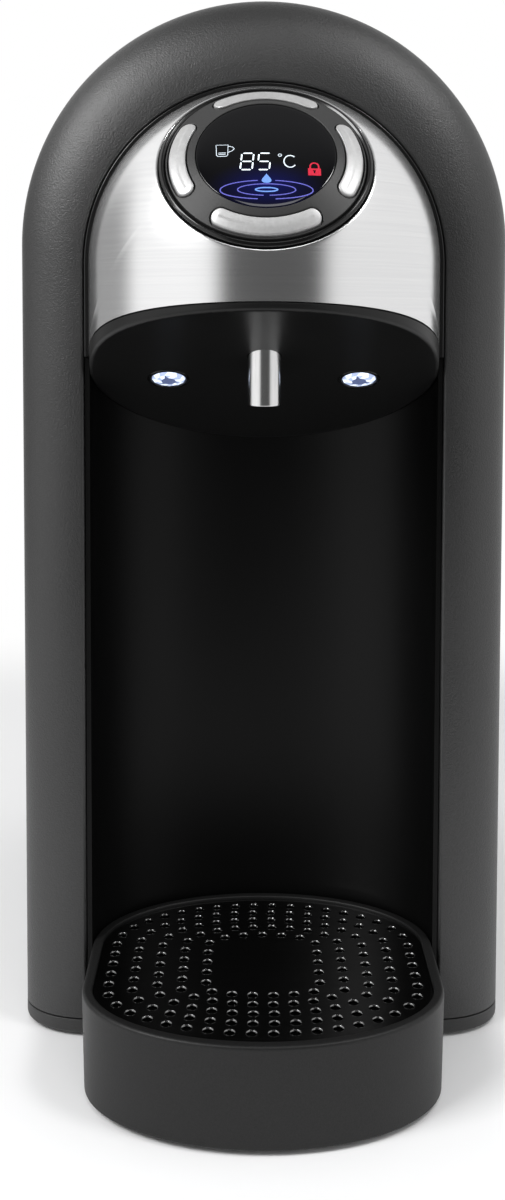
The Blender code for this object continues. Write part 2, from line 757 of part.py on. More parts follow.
def steel_fascia(surface):
    """Pressed steel head: a quarter sphere on a half cylinder, with a round panel opening."""
    shape = bmesh.new()
    rows = []
    for share in (0.0, 1.0):
        row = []
        for step in shares(DOME_TURN_STEPS):
            turn = math.pi * (step - 0.5)
            y = -DOME_RADIUS * math.cos(turn)
            low = rim_z(y) + CLEAR
            row.append((DOME_RADIUS * math.sin(turn), y, low + (DOME_Z - low) * share))
        rows.append(row)
    for rise in shares(DOME_RISE_STEPS)[1:-1]:
        lift = math.pi / 2 * rise
        row = []
        for step in shares(DOME_TURN_STEPS):
            turn = math.pi * (step - 0.5)
            flat = DOME_RADIUS * math.cos(lift)
            high = DOME_Z + DOME_RADIUS * math.sin(lift)
            row.append((flat * math.sin(turn), -flat * math.cos(turn), high))
        rows.append(row)
    grid = [[shape.verts.new(point) for point in row] for row in rows]
    crown = shape.verts.new((0, 0, DOME_Z + DOME_RADIUS))
    for first, second in zip(grid, grid[1:]):
        for i in range(DOME_TURN_STEPS):
            shape.faces.new((first[i], first[i + 1], second[i + 1], second[i]))
    for i in range(DOME_TURN_STEPS):
        shape.faces.new((grid[-1][i], grid[-1][i + 1], crown))
    fascia = add_object("steel_fascia", shape, surface)
    pressed = fascia.modifiers.new("Wall", "SOLIDIFY")
    pressed.thickness = FASCIA_WALL
    pressed.offset = -1
    pressed.use_even_offset = True
    depth = PANEL_RIM / 2
    cut(fascia, rod(PANEL_RADIUS + CLEAR, depth, DOME_RADIUS + OVERRUN, PANEL_STEPS, panel_frame()))
    return fascia


def underside_plan(inset):
    """Round in front like the dome, elliptical behind like the bay."""
    points = []
    front = DOME_RADIUS - inset
    back_x = LINER_INNER - CLEAR - inset
    back_y = BAY_DEPTH - CLEAR - inset
    for step in range(2 * DOME_TURN_STEPS):
        turn = math.pi * (2 * step + 1) / (2 * DOME_TURN_STEPS)
        ahead = math.sin(turn) < 0
        across = front if ahead else back_x
        reach = front if ahead else back_y
        points.append((across * math.cos(turn), reach * math.sin(turn)))
    return points


def head_underside(surface):
    """Slanted cover under the head with a raised rim, a spout hole and two lamp holes."""
    full = underside_plan(0.0)
    rim = underside_plan(RIM_WALL)

    def ring(points, share, height):
        return [(x * share, y * share, height(y * share)) for x, y in points]

    def inside(y):
        return underside_z(y) + UNDERSIDE_WALL

    sections = [ring(full, share, underside_z) for share in UNDERSIDE_RING_SHARES]
    sections += [ring(full, 1.0, underside_z), ring(full, 1.0, rim_z), ring(rim, 1.0, rim_z)]
    sections += [ring(rim, 1.0, inside), ring(full, UNDERSIDE_RING_SHARES[0], inside)]
    cover = add_object("head_underside", skin(sections), surface)
    spout_hole = rod(SPOUT_RADIUS + CLEAR, spout_bottom(), DOME_Z, SMALL_STEPS, at(0, -SPOUT_AHEAD))
    deep = -LAMP_DEPTH - OVERRUN
    lamp_holes = [rod(LAMP_RADIUS + CLEAR, deep, OVERRUN, SMALL_STEPS, lamp_frame(side * LAMP_X))
                  for side in (-1, 1)]
    cut(cover, spout_hole, *lamp_holes)
    return cover


def spout_bottom():
    return DOME_Z - SPOUT_DROP


def spout_seat():
    """Height inside the head where the spout's collar sits."""
    return underside_z(-SPOUT_AHEAD - SPOUT_RADIUS - SPOUT_COLLAR) + UNDERSIDE_WALL + CLEAR


def chamber_bottom():
    return spout_seat() + SPOUT_COLLAR_HEIGHT + PORT_LENGTH / 2


def spout(surface):
    """Steel spout tube with a collar above the underside."""
    low = spout_bottom()
    seat = spout_seat()
    high = chamber_bottom() - CLEAR
    collar = SPOUT_RADIUS + SPOUT_COLLAR
    profile = [(SPOUT_BORE, low + SPOUT_CHAMFER), (SPOUT_BORE + SPOUT_CHAMFER, low),
               (SPOUT_RADIUS - SPOUT_CHAMFER, low), (SPOUT_RADIUS, low + SPOUT_CHAMFER),
               (SPOUT_RADIUS, seat), (collar, seat),
               (collar, seat + SPOUT_COLLAR_HEIGHT), (SPOUT_RADIUS, seat + SPOUT_COLLAR_HEIGHT),
               (SPOUT_RADIUS, high), (SPOUT_BORE, high)]
    return add_object("spout", turned(profile, SMALL_STEPS + 2, at(0, -SPOUT_AHEAD)), surface)


def lamps(clear_surface, board_surface):
    """Two clear lamp lenses with inner flanges, and the strip board that carries them."""
    neck = -UNDERSIDE_WALL - 2 * CLEAR
    flange = LAMP_RADIUS + LAMP_FLANGE
    profile = [(0, LAMP_PROUD), (LAMP_RADIUS / 2, LAMP_PROUD), (LAMP_RADIUS, 0), (LAMP_RADIUS, neck),
               (flange, neck), (flange, -LAMP_DEPTH), (0, -LAMP_DEPTH)]
    for name, side in (("lamp_lens_left", -1), ("lamp_lens_right", 1)):
        add_object(name, turned(profile, SMALL_STEPS, lamp_frame(side * LAMP_X)), clear_surface)
    high = -LAMP_DEPTH - CLEAR
    reach = LAMP_X + LAMP_BOARD_MARGIN
    across = LAMP_BOARD_WIDTH / 2
    corners = [(-reach, -across), (reach, -across), (reach, across), (-reach, across)]
    add_object("lamp_board", plate(corners, high - BOARD_WALL, high, frame=lamp_frame(0)), board_surface)


# Control panel

def ring_skirt_z():
    """Height along the panel's axis where the control ring's skirt ends."""
    ring_low = ring_z(RING_OUTER) - RING_WALL
    return ring_low - BUTTON_TRAVEL - BUTTON_FLANGE_WALL - SWITCH_RADIUS - 3 * CLEAR


def board_z():
    """Height of the display board's upper face."""
    return ring_skirt_z() - CLEAR


def shelf_z():
    """Height of the bezel's shelf under the display board."""
    return board_z() - BOARD_WALL - CLEAR


def button_low_z():
    """Height of the lowest face of a button that isn't pressed."""
    return ring_z(BUTTON_OUTER) - RING_WALL - CLEAR - BUTTON_FLANGE_WALL


def bezel_ring(surface):
    """Black outer ring, snapped into the steel from behind, with a shelf for the display board."""
    shelf = shelf_z()
    bottom = shelf - BEZEL_FLANGE_WALL
    inner = DOME_RADIUS - FASCIA_WALL
    reach = PANEL_RADIUS + BEZEL_FLANGE
    at_wall = math.sqrt(inner ** 2 - (PANEL_RADIUS + CLEAR) ** 2) - 2 * CLEAR
    at_edge = math.sqrt(inner ** 2 - reach ** 2) - 2 * CLEAR
    crown = PANEL_RIM + BEZEL_PROUD
    profile = [(BEZEL_INNER, shelf), (BEZEL_INNER, PANEL_RIM), (PANEL_RADIUS - BEZEL_WIDTH / 2, crown),
               (PANEL_RADIUS, PANEL_RIM), (PANEL_RADIUS, at_wall), (reach, at_edge),
               (reach, at_edge - BEZEL_FLANGE_WALL), (PANEL_RADIUS, bottom),
               (BEZEL_INNER - BEZEL_WIDTH, bottom), (BEZEL_INNER - BEZEL_WIDTH, shelf)]
    return add_object("bezel_ring", turned(profile, PANEL_STEPS, panel_frame()), surface)


def button_bar(middle_turn, half_sweep, grow, low, high_of, flange=0.0, steps=5):
    """An arc bar with round ends: its top follows high_of(radius), its bottom is flat at low."""
    middle = (BUTTON_INNER + BUTTON_OUTER) / 2
    half_width = (BUTTON_OUTER - BUTTON_INNER) / 2 + grow
    sweep = half_sweep + grow / middle
    end = half_width / middle
    turns = [-sweep + end * (1 - math.cos(math.pi / 2 * share)) for share in shares(2)]
    turns += [(sweep - end) * (2 * share - 1) for share in shares(steps)][1:-1]
    turns += [sweep - end * (1 - math.cos(math.pi / 2 * share)) for share in reversed(shares(2))]
    sections = []
    for turn in turns:
        into = max(abs(turn) - (sweep - end), 0) / end
        width = half_width * max(math.sqrt(max(1 - into ** 2, 0)), BUTTON_TIP_SHARE)
        inside = middle - width
        outside = middle + width
        places = [(outside, low), (outside, high_of(outside)), (middle, high_of(middle)),
                  (inside, high_of(inside))]
        if flange:
            step = low + BUTTON_FLANGE_WALL
            places += [(inside, step), (inside - flange, step), (inside - flange, low)]
        else:
            places += [(inside, low)]
        spin = middle_turn + turn
        sections.append([(radius * math.cos(spin), radius * math.sin(spin), z) for radius, z in places])
    return skin(sections)


def control_ring(surface):
    """Grey sloping ring with four arc openings for the buttons and a skirt down to the board."""
    skirt = ring_skirt_z()
    wall_outer = RING_OUTER - RING_SKIRT
    wall_inner = RING_INNER + RING_SKIRT
    lens_seat = ring_z(RING_INNER) - LENS_RECESS - LENS_WALL - CLEAR
    profile = [(RING_INNER, lens_seat), (RING_INNER, ring_z(RING_INNER)), (RING_OUTER, ring_z(RING_OUTER)),
               (RING_OUTER, skirt), (wall_outer, skirt), (wall_outer, ring_z(wall_outer) - RING_WALL),
               (wall_inner, ring_z(wall_inner) - RING_WALL), (wall_inner, lens_seat)]
    ring = add_object("control_ring", turned(profile, PANEL_STEPS, panel_frame()), surface)
    slots = []
    for name, degrees in BUTTON_ANGLES.items():
        slot = button_bar(math.radians(degrees), math.radians(BUTTON_HALF_SWEEPS[name]), CLEAR,
                          ring_z(RING_OUTER) - RING_WALL - OVERRUN, lambda radius: ring_z(radius) + OVERRUN)
        bmesh.ops.transform(slot, matrix=panel_frame(), verts=slot.verts)
        slots.append(slot)
    cut(ring, *slots)
    return ring


def buttons(surface):
    """Four arc buttons, each with its origin at its own middle on the panel."""
    frame = panel_frame()
    middle = (BUTTON_INNER + BUTTON_OUTER) / 2
    for name, degrees in BUTTON_ANGLES.items():
        turn = math.radians(degrees)
        bar = button_bar(turn, math.radians(BUTTON_HALF_SWEEPS[name]), 0.0, button_low_z(),
                         lambda radius: ring_z(radius) + BUTTON_PROUD, BUTTON_FLANGE)
        bmesh.ops.transform(bar, matrix=frame, verts=bar.verts)
        origin = frame @ Vector((middle * math.cos(turn), middle * math.sin(turn), ring_z(middle)))
        set_origin(add_object(name + "_button", bar, surface), origin)


def display(lens_surface, board_surface):
    """Domed dark lens, and the display board with its screen block and four key switches."""
    frame = panel_frame()
    board_top = board_z()
    top = ring_z(RING_INNER) - LENS_RECESS
    low = top - LENS_WALL
    turns = [math.pi / 2 * share for share in reversed(shares(3))]
    crown = [(DISPLAY_RADIUS * math.sin(turn), top + LENS_CROWN * math.cos(turn)) for turn in turns]
    lens = turned([(0, low), (DISPLAY_RADIUS, low), *crown], PANEL_STEPS, frame)
    add_object("display_lens", lens, lens_surface)
    outer = BEZEL_INNER - CLEAR
    screen = DISPLAY_RADIUS - RING_SKIRT
    bottom_face = board_top - BOARD_WALL
    profile = [(0, bottom_face), (outer, bottom_face), (outer, board_top), (screen, board_top),
               (screen, low - CLEAR), (0, low - CLEAR)]
    board = add_object("display_board", turned(profile, 2 * TINY_STEPS, frame), board_surface)
    middle = (BUTTON_INNER + BUTTON_OUTER) / 2
    switch_top = button_low_z() - BUTTON_TRAVEL - CLEAR
    switches = []
    for degrees in BUTTON_ANGLES.values():
        turn = math.radians(degrees)
        place = frame @ at(middle * math.cos(turn), middle * math.sin(turn))
        switches.append(rod(SWITCH_RADIUS, board_top - SINK, switch_top, frame=place))
    join(board, *switches)


# Drip tray

def drip_tray(surface):
    """Deep tray: outer wall with a front skirt, rounded rim, cover ledge and basin floor."""
    floor = BASE_TOP + CLEAR
    ledge_in = TRAY_RIM + LEDGE_WIDTH
    ledge_low = LEDGE_Z - LEDGE_HEIGHT
    foot_in = TRAY_WALL + TRAY_DRAFT
    levels = [(floor, foot_in), (TRAY_SKIRT_Z, foot_in), (TRAY_SKIRT_Z, TRAY_DRAFT),
              (TRAY_HEIGHT - TRAY_RIM_ROUND, 0.0), (TRAY_HEIGHT, TRAY_RIM_ROUND), (TRAY_HEIGHT, TRAY_RIM),
              (LEDGE_Z, TRAY_RIM), (LEDGE_Z, ledge_in), (ledge_low, ledge_in),
              (ledge_low - LEDGE_TAPER, TRAY_WALL), (floor + 2 * TRAY_FLOOR, foot_in),
              (floor + TRAY_FLOOR, foot_in + TRAY_FLOOR)]
    sections = [[(x, y, z) for x, y in tray_plan(inset)] for z, inset in levels]
    tray = add_object("drip_tray", skin(sections), surface)
    behind = block((-HALF_WIDTH, -SEAM - CLEAR, 0), (HALF_WIDTH, HOUSING_DEPTH, floor + CLEAR))
    cut(tray, behind)
    return tray


def hole_rows():
    """Centres of the cover's holes, in rows that run parallel to its outline."""
    places = []
    across = TRAY_HALF_WIDTH - HOLE_MARGIN_SIDE
    front = TRAY_FRONT_CURVE - HOLE_MARGIN_FRONT
    back = TRAY_BACK - HOLE_MARGIN_FRONT
    while across > HOLE_ROW_SIDE / 2 and front > HOLE_ROW_FRONT / 2:
        places += spaced_along(hole_track(across, front, back), HOLE_PITCH)
        across -= HOLE_ROW_SIDE
        front -= HOLE_ROW_FRONT
        back -= HOLE_ROW_FRONT
    return places


def hole_track(across, front, back):
    """A fine closed line like the tray's outline, for holes to be spaced along."""
    line = []
    for share in shares(TRACK_STEPS):
        turn = math.pi * (share - 0.5)
        line.append((across * math.sin(turn), TRAY_CURVE_Y - front * math.cos(turn)))
    for share in shares(TRACK_STEPS):
        turn = math.pi * share
        line.append((across * math.cos(turn), max(back, HOLE_RADIUS) * math.sin(turn)))
    return line + line[:1]


def spaced_along(line, pitch):
    """Points at one even pitch, as near the wanted pitch as closes the loop."""
    lengths = [math.dist(a, b) for a, b in zip(line, line[1:])]
    total = sum(lengths)
    count = max(3, round(total / pitch))
    middle = sum(lengths[:TRACK_STEPS // 2])
    wanted = sorted((middle + total * (2 * step + 1) / (2 * count)) % total for step in range(count))
    points = []
    travelled = 0.0
    for (a, b), length in zip(zip(line, line[1:]), lengths):
        while wanted and wanted[0] <= travelled + length:
            share = (wanted.pop(0) - travelled) / length if length else 0.0
            points.append((a[0] + (b[0] - a[0]) * share, a[1] + (b[1] - a[1]) * share))
        travelled += length
    return points


def tray_cover(surface):
    """Perforated steel cover that drops onto the tray's ledge."""
    outline = tray_plan(TRAY_RIM + CLEAR)
    holes = [circle(HOLE_RADIUS, HOLE_SIDES, place) for place in hole_rows()]
    return add_object("tray_cover", plate(outline, COVER_BOTTOM, COVER_TOP, holes), surface)


# Tank, lid, dock and valve

def tank(surface):
    """Open-topped smoked tank with an outlet nose under its floor."""
    levels = [(TANK_FLOOR_Z, TANK_ROUND), (TANK_FLOOR_Z + TANK_ROUND, 0.0), (TANK_TOP, 0.0),
              (TANK_TOP, TANK_WALL), (SEAT_Z, TANK_WALL)]
    sections = [[(x, y, z) for x, y in tank_plan(inset)] for z, inset in levels]
    vessel = add_object("water_tank", skin(sections), surface)
    place = at(OUTLET_X, TANK_MID)
    join(vessel, rod(NOSE_RADIUS, NOSE_Z, TANK_FLOOR_Z + SINK, 2 * TINY_STEPS, place))
    step_z = SEAT_Z - THROAT_LENGTH
    profile = [(0, NOSE_Z - OVERRUN), (NOSE_BORE, NOSE_Z - OVERRUN), (NOSE_BORE, step_z),
               (THROAT_BORE, step_z), (THROAT_BORE, SEAT_Z + OVERRUN), (0, SEAT_Z + OVERRUN)]
    cut(vessel, turned(profile, SMALL_STEPS, place))
    return vessel


def lid_outline(radius):
    """Arch over the tank's mouth, begun a little below the seam so that its edge can be cut flat."""
    return arch(radius, ARCH_Z, TANK_TOP - TANK_WALL, LID_ARCH_STEPS)


def tank_lid(surface):
    """Arched hood over the tank's mouth, with a skirt that drops inside it and a finger tab."""
    stations = [(TANK_FRONT, TANK_ROUND), (TANK_FRONT + TANK_ROUND, 0.0)]
    for share in shares(CORNER_STEPS):
        turn = math.pi / 2 * share
        y = TANK_BACK - REAR_CORNER * (1 - math.sin(turn))
        stations.append((y, REAR_CORNER * (1 - math.cos(turn))))
    shape = bmesh.new()
    loops = []
    for y, inset in stations:
        loops.append([shape.verts.new((x, y, z)) for x, z in lid_outline(TANK_HALF_WIDTH - inset)])
    for first, second in zip(loops, loops[1:]):
        for i in range(len(first) - 1):
            shape.faces.new((first[i], first[i + 1], second[i + 1], second[i]))
    shape.faces.new(loops[0])
    shape.faces.new(loops[-1])
    lid = add_object("tank_lid", shape, surface)
    wall = lid.modifiers.new("Wall", "SOLIDIFY")
    wall.thickness = TANK_WALL
    wall.offset = -1
    wall.use_even_offset = True
    low = (-HALF_WIDTH, HOUSING_DEPTH, ARCH_Z)
    cut(lid, block(low, (HALF_WIDTH, MACHINE_DEPTH + OVERRUN, TANK_TOP + CLEAR)))
    outer = TANK_WALL + CLEAR
    inner = outer + LID_SKIRT_WALL
    low = TANK_TOP - LID_SKIRT
    high = TANK_TOP + TANK_WALL
    levels = [(low, outer), (high, outer), (high, inner), (low, inner)]
    skirt = skin([[(x, y, z) for x, y in tank_plan(inset)] for z, inset in levels], wrap=True)
    tab_z = TANK_TOP + CLEAR
    tab = block((-LID_TAB_WIDTH / 2, TANK_BACK - TANK_WALL / 2, tab_z),
                (LID_TAB_WIDTH / 2, TANK_BACK + LID_TAB, tab_z + LID_TAB_WALL))
    join(lid, skirt, tab)
    return lid


def barb_z():
    """Height of the dock's outlet barb: level with the middle of the socket's sump."""
    return SOCKET_Z + BARB_RADIUS - SOCKET_FLOOR_GAP


def tank_dock(surface):
    """Hollow ledge that carries the tank: a socket with a valve pin, and a barb into the housing."""
    levels = [(BASE_TOP + CLEAR, 0.0), (DOCK_TOP, 0.0)]
    hollow = [(BASE_TOP, DOCK_WALL), (DOCK_TOP - DOCK_WALL, DOCK_WALL)]
    outer = skin([[(x, y, z) for x, y in dock_plan(inset)] for z, inset in levels])
    inner = skin([[(x, y, z) for x, y in dock_plan(inset)] for z, inset in hollow])
    dock = add_object("tank_dock", outer, surface)
    cut(dock, inner)
    place = at(OUTLET_X, TANK_MID)
    steps = 2 * TINY_STEPS
    cup = rod(SOCKET_RADIUS + SOCKET_WALL, BASE_TOP + CLEAR, DOCK_TOP - SINK, steps, place)
    ahead = along((OUTLET_X, TANK_MID, barb_z()), (0, -1, 0))
    reach = TANK_MID - INTERIOR_BACK + BARB_REACH
    barb = rod(BARB_RADIUS, SOCKET_RADIUS + SOCKET_WALL / 2, reach, SMALL_STEPS, ahead)
    join(dock, cup, barb)
    gland = rod(GLAND_RADIUS + CLEAR, -DOCK_WALL - OVERRUN, OVERRUN, SMALL_STEPS, gland_frame())
    well = rod(SOCKET_RADIUS, SOCKET_Z, DOCK_TOP + OVERRUN, steps, place)
    cut(dock, gland, well)
    join(dock, rod(PIN_RADIUS, SOCKET_Z - SINK, PIN_TOP, frame=place))
    return dock


def dock_plan(inset):
    """Dock outline: the base's rear end, cut off behind the housing."""
    front = HOUSING_DEPTH + CLEAR + inset
    half = [(0, front), (HALF_WIDTH - inset, front), *rear_corner(inset), (0, MACHINE_DEPTH - inset)]
    return both_sides(half)


def gland_frame():
    """Mains inlet: Z points backwards, origin on the dock's rear face."""
    x = GLAND_INSET - HALF_WIDTH
    return along((x, MACHINE_DEPTH, (BASE_TOP + DOCK_TOP - DOCK_WALL) / 2), (0, 1, 0))


def inlet_gland(surface):
    """Rubber bush where the mains lead enters."""
    flange = GLAND_RADIUS + GLAND_FLANGE
    wall = -DOCK_WALL - CLEAR
    inner = wall - GLAND_FLANGE_WALL
    profile = [(GLAND_BORE, inner), (flange, inner), (flange, wall), (GLAND_RADIUS, wall),
               (GLAND_RADIUS, -CLEAR), (GLAND_BORE, -CLEAR)]
    return add_object("inlet_gland", turned(profile, SMALL_STEPS, gland_frame()), surface)


def dock_seal(surface):
    """Rubber ring between the tank's nose and the socket wall."""
    high = DOCK_TOP - DOCK_SEAL_DEPTH
    low = high - DOCK_SEAL_WALL
    inner = NOSE_RADIUS + CLEAR
    outer = SOCKET_RADIUS - CLEAR
    profile = [(inner, low), (outer, low), (outer, high), (inner, high)]
    return add_object("dock_seal", turned(profile, 2 * TINY_STEPS, at(OUTLET_X, TANK_MID)), surface)


def valve(plunger_surface, seal_surface, spring_surface):
    """Tank valve, held open by the dock's pin: plunger, rubber seal and return spring."""
    place = at(OUTLET_X, TANK_MID)
    origin = (OUTLET_X, TANK_MID, SEAT_Z)
    low = PIN_TOP + CLEAR
    seal_low = SEAT_Z + VALVE_LIFT + CLEAR
    head_low = seal_low + VALVE_SEAL_WALL + CLEAR
    head_high = head_low + VALVE_HEAD_WALL
    collar = NOSE_BORE - CLEAR
    profile = [(0, low), (collar, low), (collar, low + COLLAR_WALL), (STEM_RADIUS, low + COLLAR_WALL),
               (STEM_RADIUS, head_low), (VALVE_HEAD_RADIUS, head_low), (VALVE_HEAD_RADIUS, head_high),
               (0, head_high)]
    set_origin(add_object("valve_plunger", turned(profile, SMALL_STEPS, place), plunger_surface), origin)
    inner = STEM_RADIUS + CLEAR
    seal_high = seal_low + VALVE_SEAL_WALL
    rubber = [(inner, seal_low), (VALVE_HEAD_RADIUS, seal_low), (VALVE_HEAD_RADIUS, seal_high),
              (inner, seal_high)]
    set_origin(add_object("valve_seal", turned(rubber, SMALL_STEPS, place), seal_surface), origin)
    coil_low = low + COLLAR_WALL + CLEAR + SPRING_WIRE
    coil = valve_coil(coil_low, SEAT_Z - THROAT_LENGTH - CLEAR - SPRING_WIRE)
    set_origin(add_object("valve_spring", tube(coil, SPRING_WIRE, SPRING_SIDES), spring_surface), origin)


def valve_coil(low, high):
    """Middle line of the valve's spring, between two heights."""
    radius = (STEM_RADIUS + NOSE_BORE) / 2
    centres = []
    for share in shares(TINY_STEPS * SPRING_TURNS):
        turn = math.tau * SPRING_TURNS * share
        x = OUTLET_X + radius * math.cos(turn)
        y = TANK_MID + radius * math.sin(turn)
        centres.append(Vector((x, y, low + (high - low) * share)))
    gap = (high - low) / SPRING_TURNS - 2 * SPRING_WIRE
    print("valve spring's gap between turns, m:", round(gap, 6))
    return centres


def tube(centres, radius, sides):
    """A round bar that follows a line of points, with flat ends."""
    sections = []
    across = None
    for i, centre in enumerate(centres):
        ahead = centres[min(i + 1, len(centres) - 1)] - centres[max(i - 1, 0)]
        ahead.normalize()
        if across is None:
            across = ahead.orthogonal().normalized()
        across = (across - ahead * across.dot(ahead)).normalized()
        up = ahead.cross(across)
        turns = [math.tau * side / sides for side in range(sides)]
        spokes = [across * math.cos(turn) + up * math.sin(turn) for turn in turns]
        sections.append([centre + spoke * radius for spoke in spokes])
    return skin(sections)


# Water path

def pump_z():
    return BASE_TOP + CLEAR + PUMP_LIFT + PUMP_RADIUS


def pump_head_back():
    """Rear face of the pump's head."""
    return INTERIOR_BACK - PUMP_SETBACK


def water_pump(surface, saddle_surface):
    """Small diaphragm pump lying on a saddle: inlet at the back, outlet on top of its head."""
    frame = along((PUMP_X, pump_head_back(), pump_z()), (0, -1, 0))
    head = PUMP_HEAD_LENGTH
    whole = PUMP_HEAD_LENGTH + PUMP_MOTOR_LENGTH
    profile = [(0, -PORT_LENGTH), (PORT_RADIUS, -PORT_LENGTH), (PORT_RADIUS, 0), (PUMP_RADIUS, 0),
               (PUMP_RADIUS, head), (PUMP_MOTOR_RADIUS, head), (PUMP_MOTOR_RADIUS, whole), (0, whole)]
    pump = add_object("water_pump", turned(profile, 2 * TINY_STEPS, frame), surface)
    outlet = at(PUMP_X, pump_head_back() - head / 2, pump_z())
    join(pump, rod(PORT_RADIUS, PUMP_RADIUS - OVERRUN, PUMP_RADIUS + PORT_LENGTH, frame=outlet))
    radius = PUMP_MOTOR_RADIUS + CLEAR
    foot = BASE_TOP + CLEAR - pump_z()
    turns = [-SADDLE_EDGE - (math.pi - 2 * SADDLE_EDGE) * share for share in shares(SADDLE_STEPS)]
    cradle = [(radius * math.cos(turn), radius * math.sin(turn)) for turn in turns]
    edge = radius + SADDLE_WALL
    outline = [*cradle, (-edge, cradle[0][1]), (-edge, foot), (edge, foot), (edge, cradle[0][1])]
    lie = at(PUMP_X, pump_head_back() - head - CLEAR, pump_z()) @ Matrix.Rotation(math.pi / 2, 4, "X")
    start = (PUMP_MOTOR_LENGTH - SADDLE_LENGTH) / 2
    add_object("pump_saddle", plate(outline, start, start + SADDLE_LENGTH, frame=lie), saddle_surface)


def meter_z():
    """Height of the flow meter's two ports."""
    return BASE_TOP + CLEAR + METER_POST_HEIGHT + METER_HEIGHT / 2


def flow_meter(surface):
    """Round flow meter on a post, with a port behind and one in front."""
    low = BASE_TOP + CLEAR
    body = low + METER_POST_HEIGHT
    profile = [(0, low), (METER_POST_RADIUS, low), (METER_POST_RADIUS, body), (METER_RADIUS, body),
               (METER_RADIUS, body + METER_HEIGHT), (0, body + METER_HEIGHT)]
    meter = add_object("flow_meter", turned(profile, 2 * TINY_STEPS, at(METER_X, INTERIOR_MID)), surface)
    reach = METER_RADIUS + PORT_LENGTH
    ports = along((METER_X, INTERIOR_MID, meter_z()), (0, 1, 0))
    join(meter, rod(PORT_RADIUS, METER_RADIUS - OVERRUN, reach, frame=ports),
         rod(PORT_RADIUS, -reach, -METER_RADIUS + OVERRUN, frame=ports))


def heater_low():
    return BASE_TOP + HEATER_LIFT


def flow_heater(surface, bracket_surface):
    """Upright through-flow heater with end flanges, and the bent bracket that carries it."""
    low = heater_low()
    high = low + HEATER_LENGTH
    flange = HEATER_RADIUS + HEATER_FLANGE
    waist_low = low + HEATER_FLANGE_WALL
    waist_high = high - HEATER_FLANGE_WALL
    profile = [(0, low - PORT_LENGTH), (PORT_RADIUS, low - PORT_LENGTH), (PORT_RADIUS, low), (flange, low),
               (flange, waist_low), (HEATER_RADIUS, waist_low), (HEATER_RADIUS, waist_high),
               (flange, waist_high), (flange, high), (PORT_RADIUS, high),
               (PORT_RADIUS, high + PORT_LENGTH), (0, high + PORT_LENGTH)]
    add_object("flow_heater", turned(profile, frame=at(-HEATER_X, INTERIOR_MID)), surface)
    near = INTERIOR_MID + flange + CLEAR
    foot = BASE_TOP + CLEAR
    outline = [(near, foot), (near + BRACKET_FOOT, foot), (near + BRACKET_FOOT, foot + BRACKET_WALL),
               (near + BRACKET_WALL, foot + BRACKET_WALL), (near + BRACKET_WALL, high), (near, high)]
    sideways = Matrix(((0, 0, 1, 0), (1, 0, 0, 0), (0, 1, 0, 0), (0, 0, 0, 1)))
    stand = at(-HEATER_X, 0) @ sideways
    shape = plate(outline, -BRACKET_WIDTH / 2, BRACKET_WIDTH / 2, frame=stand)
    add_object("heater_bracket", shape, bracket_surface)


def heat_guards(cutout_surface, sensor_surface):
    """Two thermal cut-outs on the heater's side, and a temperature sensor on its top flange."""
    profile = [(0, 0), (CUTOUT_NECK_RADIUS, 0), (CUTOUT_NECK_RADIUS, CUTOUT_NECK),
               (CUTOUT_RADIUS, CUTOUT_NECK), (CUTOUT_RADIUS, CUTOUT_NECK + CUTOUT_WALL),
               (0, CUTOUT_NECK + CUTOUT_WALL)]
    for number, share in enumerate(CUTOUT_SHARES, 1):
        z = heater_low() + HEATER_LENGTH * share
        place = (-HEATER_X + HEATER_RADIUS + CLEAR, INTERIOR_MID, z)
        shape = turned(profile, SMALL_STEPS, along(place, (1, 0, 0)))
        add_object("thermal_cutout_%d" % number, shape, cutout_surface)
    low = heater_low() + HEATER_LENGTH + CLEAR
    wide = SENSOR_FLANGE_SHARE * SENSOR_RADIUS
    probe = [(0, low), (wide, low), (wide, low + SENSOR_RADIUS), (SENSOR_RADIUS, low + SENSOR_RADIUS),
             (SENSOR_RADIUS, low + SENSOR_LENGTH), (0, low + SENSOR_LENGTH)]
    shape = turned(probe, frame=at(-HEATER_X + SENSOR_OFFSET, INTERIOR_MID))
    add_object("temperature_sensor", shape, sensor_surface)


def outlet_chamber(surface):
    """Steam separator over the spout: water leaves at the bottom, the heater's hose comes in behind."""
    low = chamber_bottom()
    high = low + CHAMBER_HEIGHT
    profile = [(0, low), (SPOUT_RADIUS, low), (CHAMBER_RADIUS, low + SPOUT_COLLAR_HEIGHT),
               (CHAMBER_RADIUS, high - SPOUT_COLLAR), (CHAMBER_RADIUS - SPOUT_COLLAR, high), (0, high)]
    place = at(0, -SPOUT_AHEAD)
    chamber = add_object("outlet_chamber", turned(profile, 2 * TINY_STEPS, place), surface)
    port = along((0, -SPOUT_AHEAD, low + CHAMBER_HEIGHT / 2), (0, 1, 0))
    join(chamber, rod(PORT_RADIUS, CHAMBER_RADIUS - OVERRUN, CHAMBER_RADIUS + PORT_LENGTH, frame=port))


